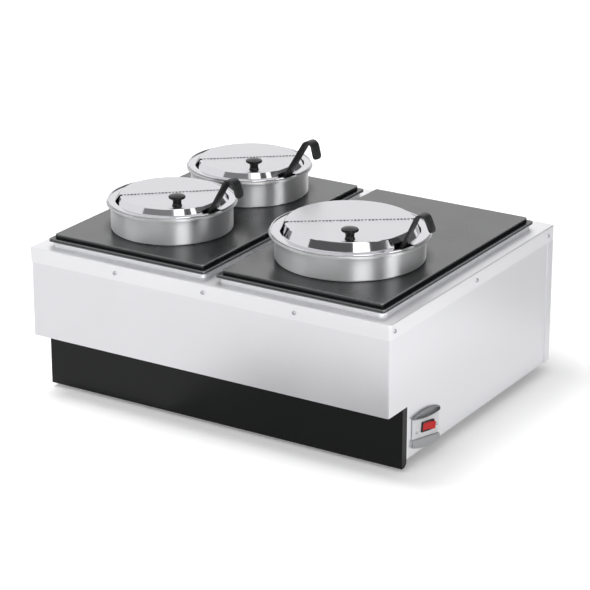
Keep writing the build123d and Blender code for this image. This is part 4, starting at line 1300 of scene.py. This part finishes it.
@dataclass(frozen=True)
class Softbox:
    """Square lamp that looks at the object."""

    name: str
    azimuth: float
    elevation: float
    distance: float
    width: float
    height: float
    power: float


@dataclass(frozen=True)
class Card:
    """Dark or bright card that only reflections see, by its ends in degrees round and up."""

    name: str
    start: float
    end: float
    low: float
    high: float
    tone: float
    distance: float = 3.0


@dataclass(frozen=True)
class Mat:
    """Sheet on the floor that only reflections see."""

    name: str
    left: float
    right: float
    front: float
    back: float
    tone: float


def toward(azimuth: float, elevation: float) -> Vector:
    """Direction from the object, by degrees round from +X and degrees above the counter."""
    around, up = math.radians(azimuth), math.radians(elevation)
    return Vector((math.cos(around) * math.cos(up), math.sin(around) * math.cos(up), math.sin(up)))


@dataclass
class Studio:
    """Camera, floor, lamps and world."""

    aim: Point = (0.0, 0.0, 0.25)
    camera_at: Point = (2.20163, -3.54724, 1.72335)
    camera_azimuth: float = -58.162
    camera_elevation: float = 20.458
    lens: float = 153.92
    sensor: float = 36.0
    floor_size: float = 60.0
    floor_tone: float = 0.92
    floor_roughness: float = 0.9
    floor_gloss: float = 0.1
    floor_lift: Span = (0.21, 0.6)
    floor_near: Span = (0.7, 1.6)
    mat_height: float = 1.0 * MM
    fill: float = 0.5
    softboxes: tuple[Softbox, ...] = (
        Softbox("key_softbox", -155.0, 74.0, 3.2, 1.4, 1.4, 60.0),
        Softbox("front_softbox", -80.0, 40.0, 3.6, 2.4, 1.6, 30.0),
    )
    cards: tuple[Card, ...] = (
        Card("front_card", -131.0, -53.0, 14.0, 41.0, 0.12),
        Card("front_top_card", -131.0, -53.0, 41.0, 62.0, 0.27),
        Card("front_low_card", -131.0, -53.0, -2.0, 13.5, 1.9),
        Card("bright_card", -52.5, -27.0, -2.0, 62.0, 2.6),
        Card("right_low_card", -25.0, -7.0, 5.0, 26.0, 0.12),
        Card("strip_card", -6.0, 11.0, -2.0, 24.0, 4.2),
        Card("strip_top_card", -8.0, 5.0, 43.0, 62.0, 1.6, 2.8),
        Card("back_low_card", 12.0, 88.0, 5.0, 26.0, 0.12),
        Card("right_card", -25.0, 30.0, 26.0, 62.0, 0.12),
        Card("back_card", 30.0, 88.0, 26.0, 50.0, 0.12),
        Card("left_card", -205.0, -150.0, -3.0, 12.0, 0.25),
    )
    mats: tuple[Mat, ...] = (
        Mat("front_mat", -0.12, 0.75, -0.68, -0.27, 0.36),
        Mat("left_mat", -1.4, -0.121, -1.2, -0.27, 0.86),
        Mat("side_mat", 0.38, 0.6, -0.4, 0.5, 0.82),
        Mat("right_mat", 0.601, 1.8, -0.3, 0.5, 1.14),
        Mat("back_mat", 0.38, 1.8, 0.501, 1.8, 0.68),
    )

    def build(self) -> None:
        """Set up the whole studio."""
        self.make_camera()
        self.make_floor()
        self.make_world()
        for box in self.softboxes:
            self.make_lamp(box)
        for card in self.cards:
            self.make_card(card)
        for mat in self.mats:
            self.make_mat(mat)
        bpy.context.scene.view_settings.view_transform = "Standard"

    def make_camera(self) -> None:
        """Set up the camera at the photograph's place."""
        data = bpy.data.cameras.new("camera")
        data.lens = self.lens
        data.sensor_width = self.sensor
        camera = bpy.data.objects.new("camera", data)
        back = toward(self.camera_azimuth, self.camera_elevation)
        camera.location = self.camera_at
        camera.rotation_euler = (-back).to_track_quat("-Z", "Y").to_euler()
        bpy.context.scene.collection.objects.link(camera)
        bpy.context.scene.camera = camera

    def make_floor(self) -> None:
        """Lay a plain pale floor that the camera sees as white paper, with the object's shadow."""
        Bench.clear_selection()
        bpy.ops.mesh.primitive_plane_add(size=self.floor_size)
        floor = Bench.named("floor")
        shader = Shader("floor_paper")
        shader.plain(Base_Color=(*shade((1.0, 1.0, 1.0), self.floor_tone), 1.0))
        shader.plain(Roughness=self.floor_roughness, Specular_IOR_Level=self.floor_gloss)
        shader.plain(Emission_Color=(1.0, 1.0, 1.0, 1.0))
        seen = shader.add("ShaderNodeLightPath", {}).outputs["Is Camera Ray"]
        glow = shader.ramp(shader.length(shader.place), self.floor_near, self.floor_lift)
        shader.feed("Emission Strength", shader.math("MULTIPLY", seen, glow))
        floor.data.materials.append(shader.material)

    def make_world(self) -> None:
        """Make white surroundings for the camera and for reflections, and a softer fill."""
        world = bpy.data.worlds.new("studio")
        world.use_nodes = True
        tree = world.node_tree
        path = tree.nodes.new("ShaderNodeLightPath").outputs
        seen = path["Is Camera Ray"]
        for ray in ("Is Glossy Ray", "Is Transmission Ray"):
            either = tree.nodes.new("ShaderNodeMath")
            either.operation = "MAXIMUM"
            tree.links.new(seen, either.inputs[0])
            tree.links.new(path[ray], either.inputs[1])
            seen = either.outputs[0]
        strength = tree.nodes.new("ShaderNodeMapRange")
        strength.inputs["To Min"].default_value = self.fill
        strength.inputs["To Max"].default_value = 1.0
        tree.links.new(seen, strength.inputs["Value"])
        background = tree.nodes["Background"]
        background.inputs["Color"].default_value = (1.0, 1.0, 1.0, 1.0)
        tree.links.new(strength.outputs["Result"], background.inputs["Strength"])
        bpy.context.scene.world = world

    def make_lamp(self, box: Softbox) -> None:
        """Hang a softbox.

        Args:
            box: The softbox.
        """
        data = bpy.data.lights.new(box.name, "AREA")
        data.shape = "RECTANGLE"
        data.size = box.width
        data.size_y = box.height
        data.energy = box.power
        lamp = bpy.data.objects.new(box.name, data)
        out = toward(box.azimuth, box.elevation)
        lamp.location = Vector(self.aim) + out * box.distance
        lamp.rotation_euler = out.to_track_quat("Z", "Y").to_euler()
        lamp.visible_glossy = False
        bpy.context.scene.collection.objects.link(lamp)

    def make_card(self, card: Card) -> None:
        """Stand a card by the object.

        Args:
            card: The card.
        """
        out = toward((card.start + card.end) / 2, 0.0)
        width = 2 * card.distance * math.tan(math.radians(card.end - card.start) / 2)
        rises = (card.distance * math.tan(math.radians(end)) for end in (card.low, card.high))
        low, high = (self.aim[2] + rise for rise in rises)
        middle = out * card.distance + UP * (low + high) / 2
        self.hang(card.name, facing(middle, out), width, high - low, card.tone)

    def make_mat(self, mat: Mat) -> None:
        """Lay a mat by the object.

        Args:
            mat: The mat.
        """
        middle = ((mat.left + mat.right) / 2, (mat.front + mat.back) / 2, self.mat_height)
        place = Matrix.Translation(middle)
        self.hang(mat.name, place, mat.right - mat.left, mat.back - mat.front, mat.tone)

    def hang(self, name: str, place: Matrix, width: float, height: float, tone: float) -> None:
        """Put up a sheet that only reflections see.

        Args:
            name: Name of the sheet.
            place: Its middle, with Z out of it.
            width: Size along its X axis.
            height: Size along its Y axis.
            tone: Brightness.
        """
        Bench.clear_selection()
        bpy.ops.mesh.primitive_plane_add(size=1.0)
        sheet = Bench.named(name)
        Bench.settle(sheet, place @ Matrix.Diagonal((width, height, 1.0, 1.0)))
        shader = Shader(name)
        shader.plain(Base_Color=(0.0, 0.0, 0.0, 1.0), Specular_IOR_Level=0.0)
        shader.plain(Emission_Color=(tone, tone, tone, 1.0), Emission_Strength=1.0)
        sheet.data.materials.append(shader.material)
        for ray in ("camera", "diffuse", "shadow", "transmission", "volume_scatter"):
            setattr(sheet, f"visible_{ray}", False)


POTS = (
    Pot(
        "front_left",
        centre=(-0.179, -0.119, 0.0),
        cover_radius=90 * MM,
        cover_turn=41.6,
        grip=Grip((-0.08146, -0.14206, 0.3467), turn=-1.6, lean=29.4, reach=68.2 * MM),
    ),
    Pot(
        "rear_left",
        centre=(-0.175, 0.124, 0.0),
        cover_radius=90 * MM,
        cover_turn=39.1,
        grip=Grip((-0.07824, 0.09662, 0.3467), turn=-6.4, lean=32.4, reach=82.1 * MM),
    ),
    Pot(
        "right",
        centre=(0.165, -0.091, 0.0),
        cover_radius=110 * MM,
        cover_turn=35.8,
        grip=Grip((0.28249, -0.11856, 0.3438), turn=3.9, lean=24.8, reach=60.1 * MM),
    ),
)


def corners(box: tuple[Vector, Vector]) -> list[list[float]]:
    """A box's two corners as plain lists."""
    return [list(corner) for corner in box]


def main() -> None:
    """Load the frame, set up the studio, and build and dress each assembly."""
    logging.basicConfig(level=logging.INFO, format="%(name)s: %(message)s")
    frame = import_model()
    Studio().build()
    wardrobe = Wardrobe(frame["nodes"])
    for assembly in (Housing(), Controls(), *POTS):
        assembly.build(wardrobe)
    for side in ("left", "right"):
        Well(side).dress(wardrobe)


if __name__ == "__main__":
    main()
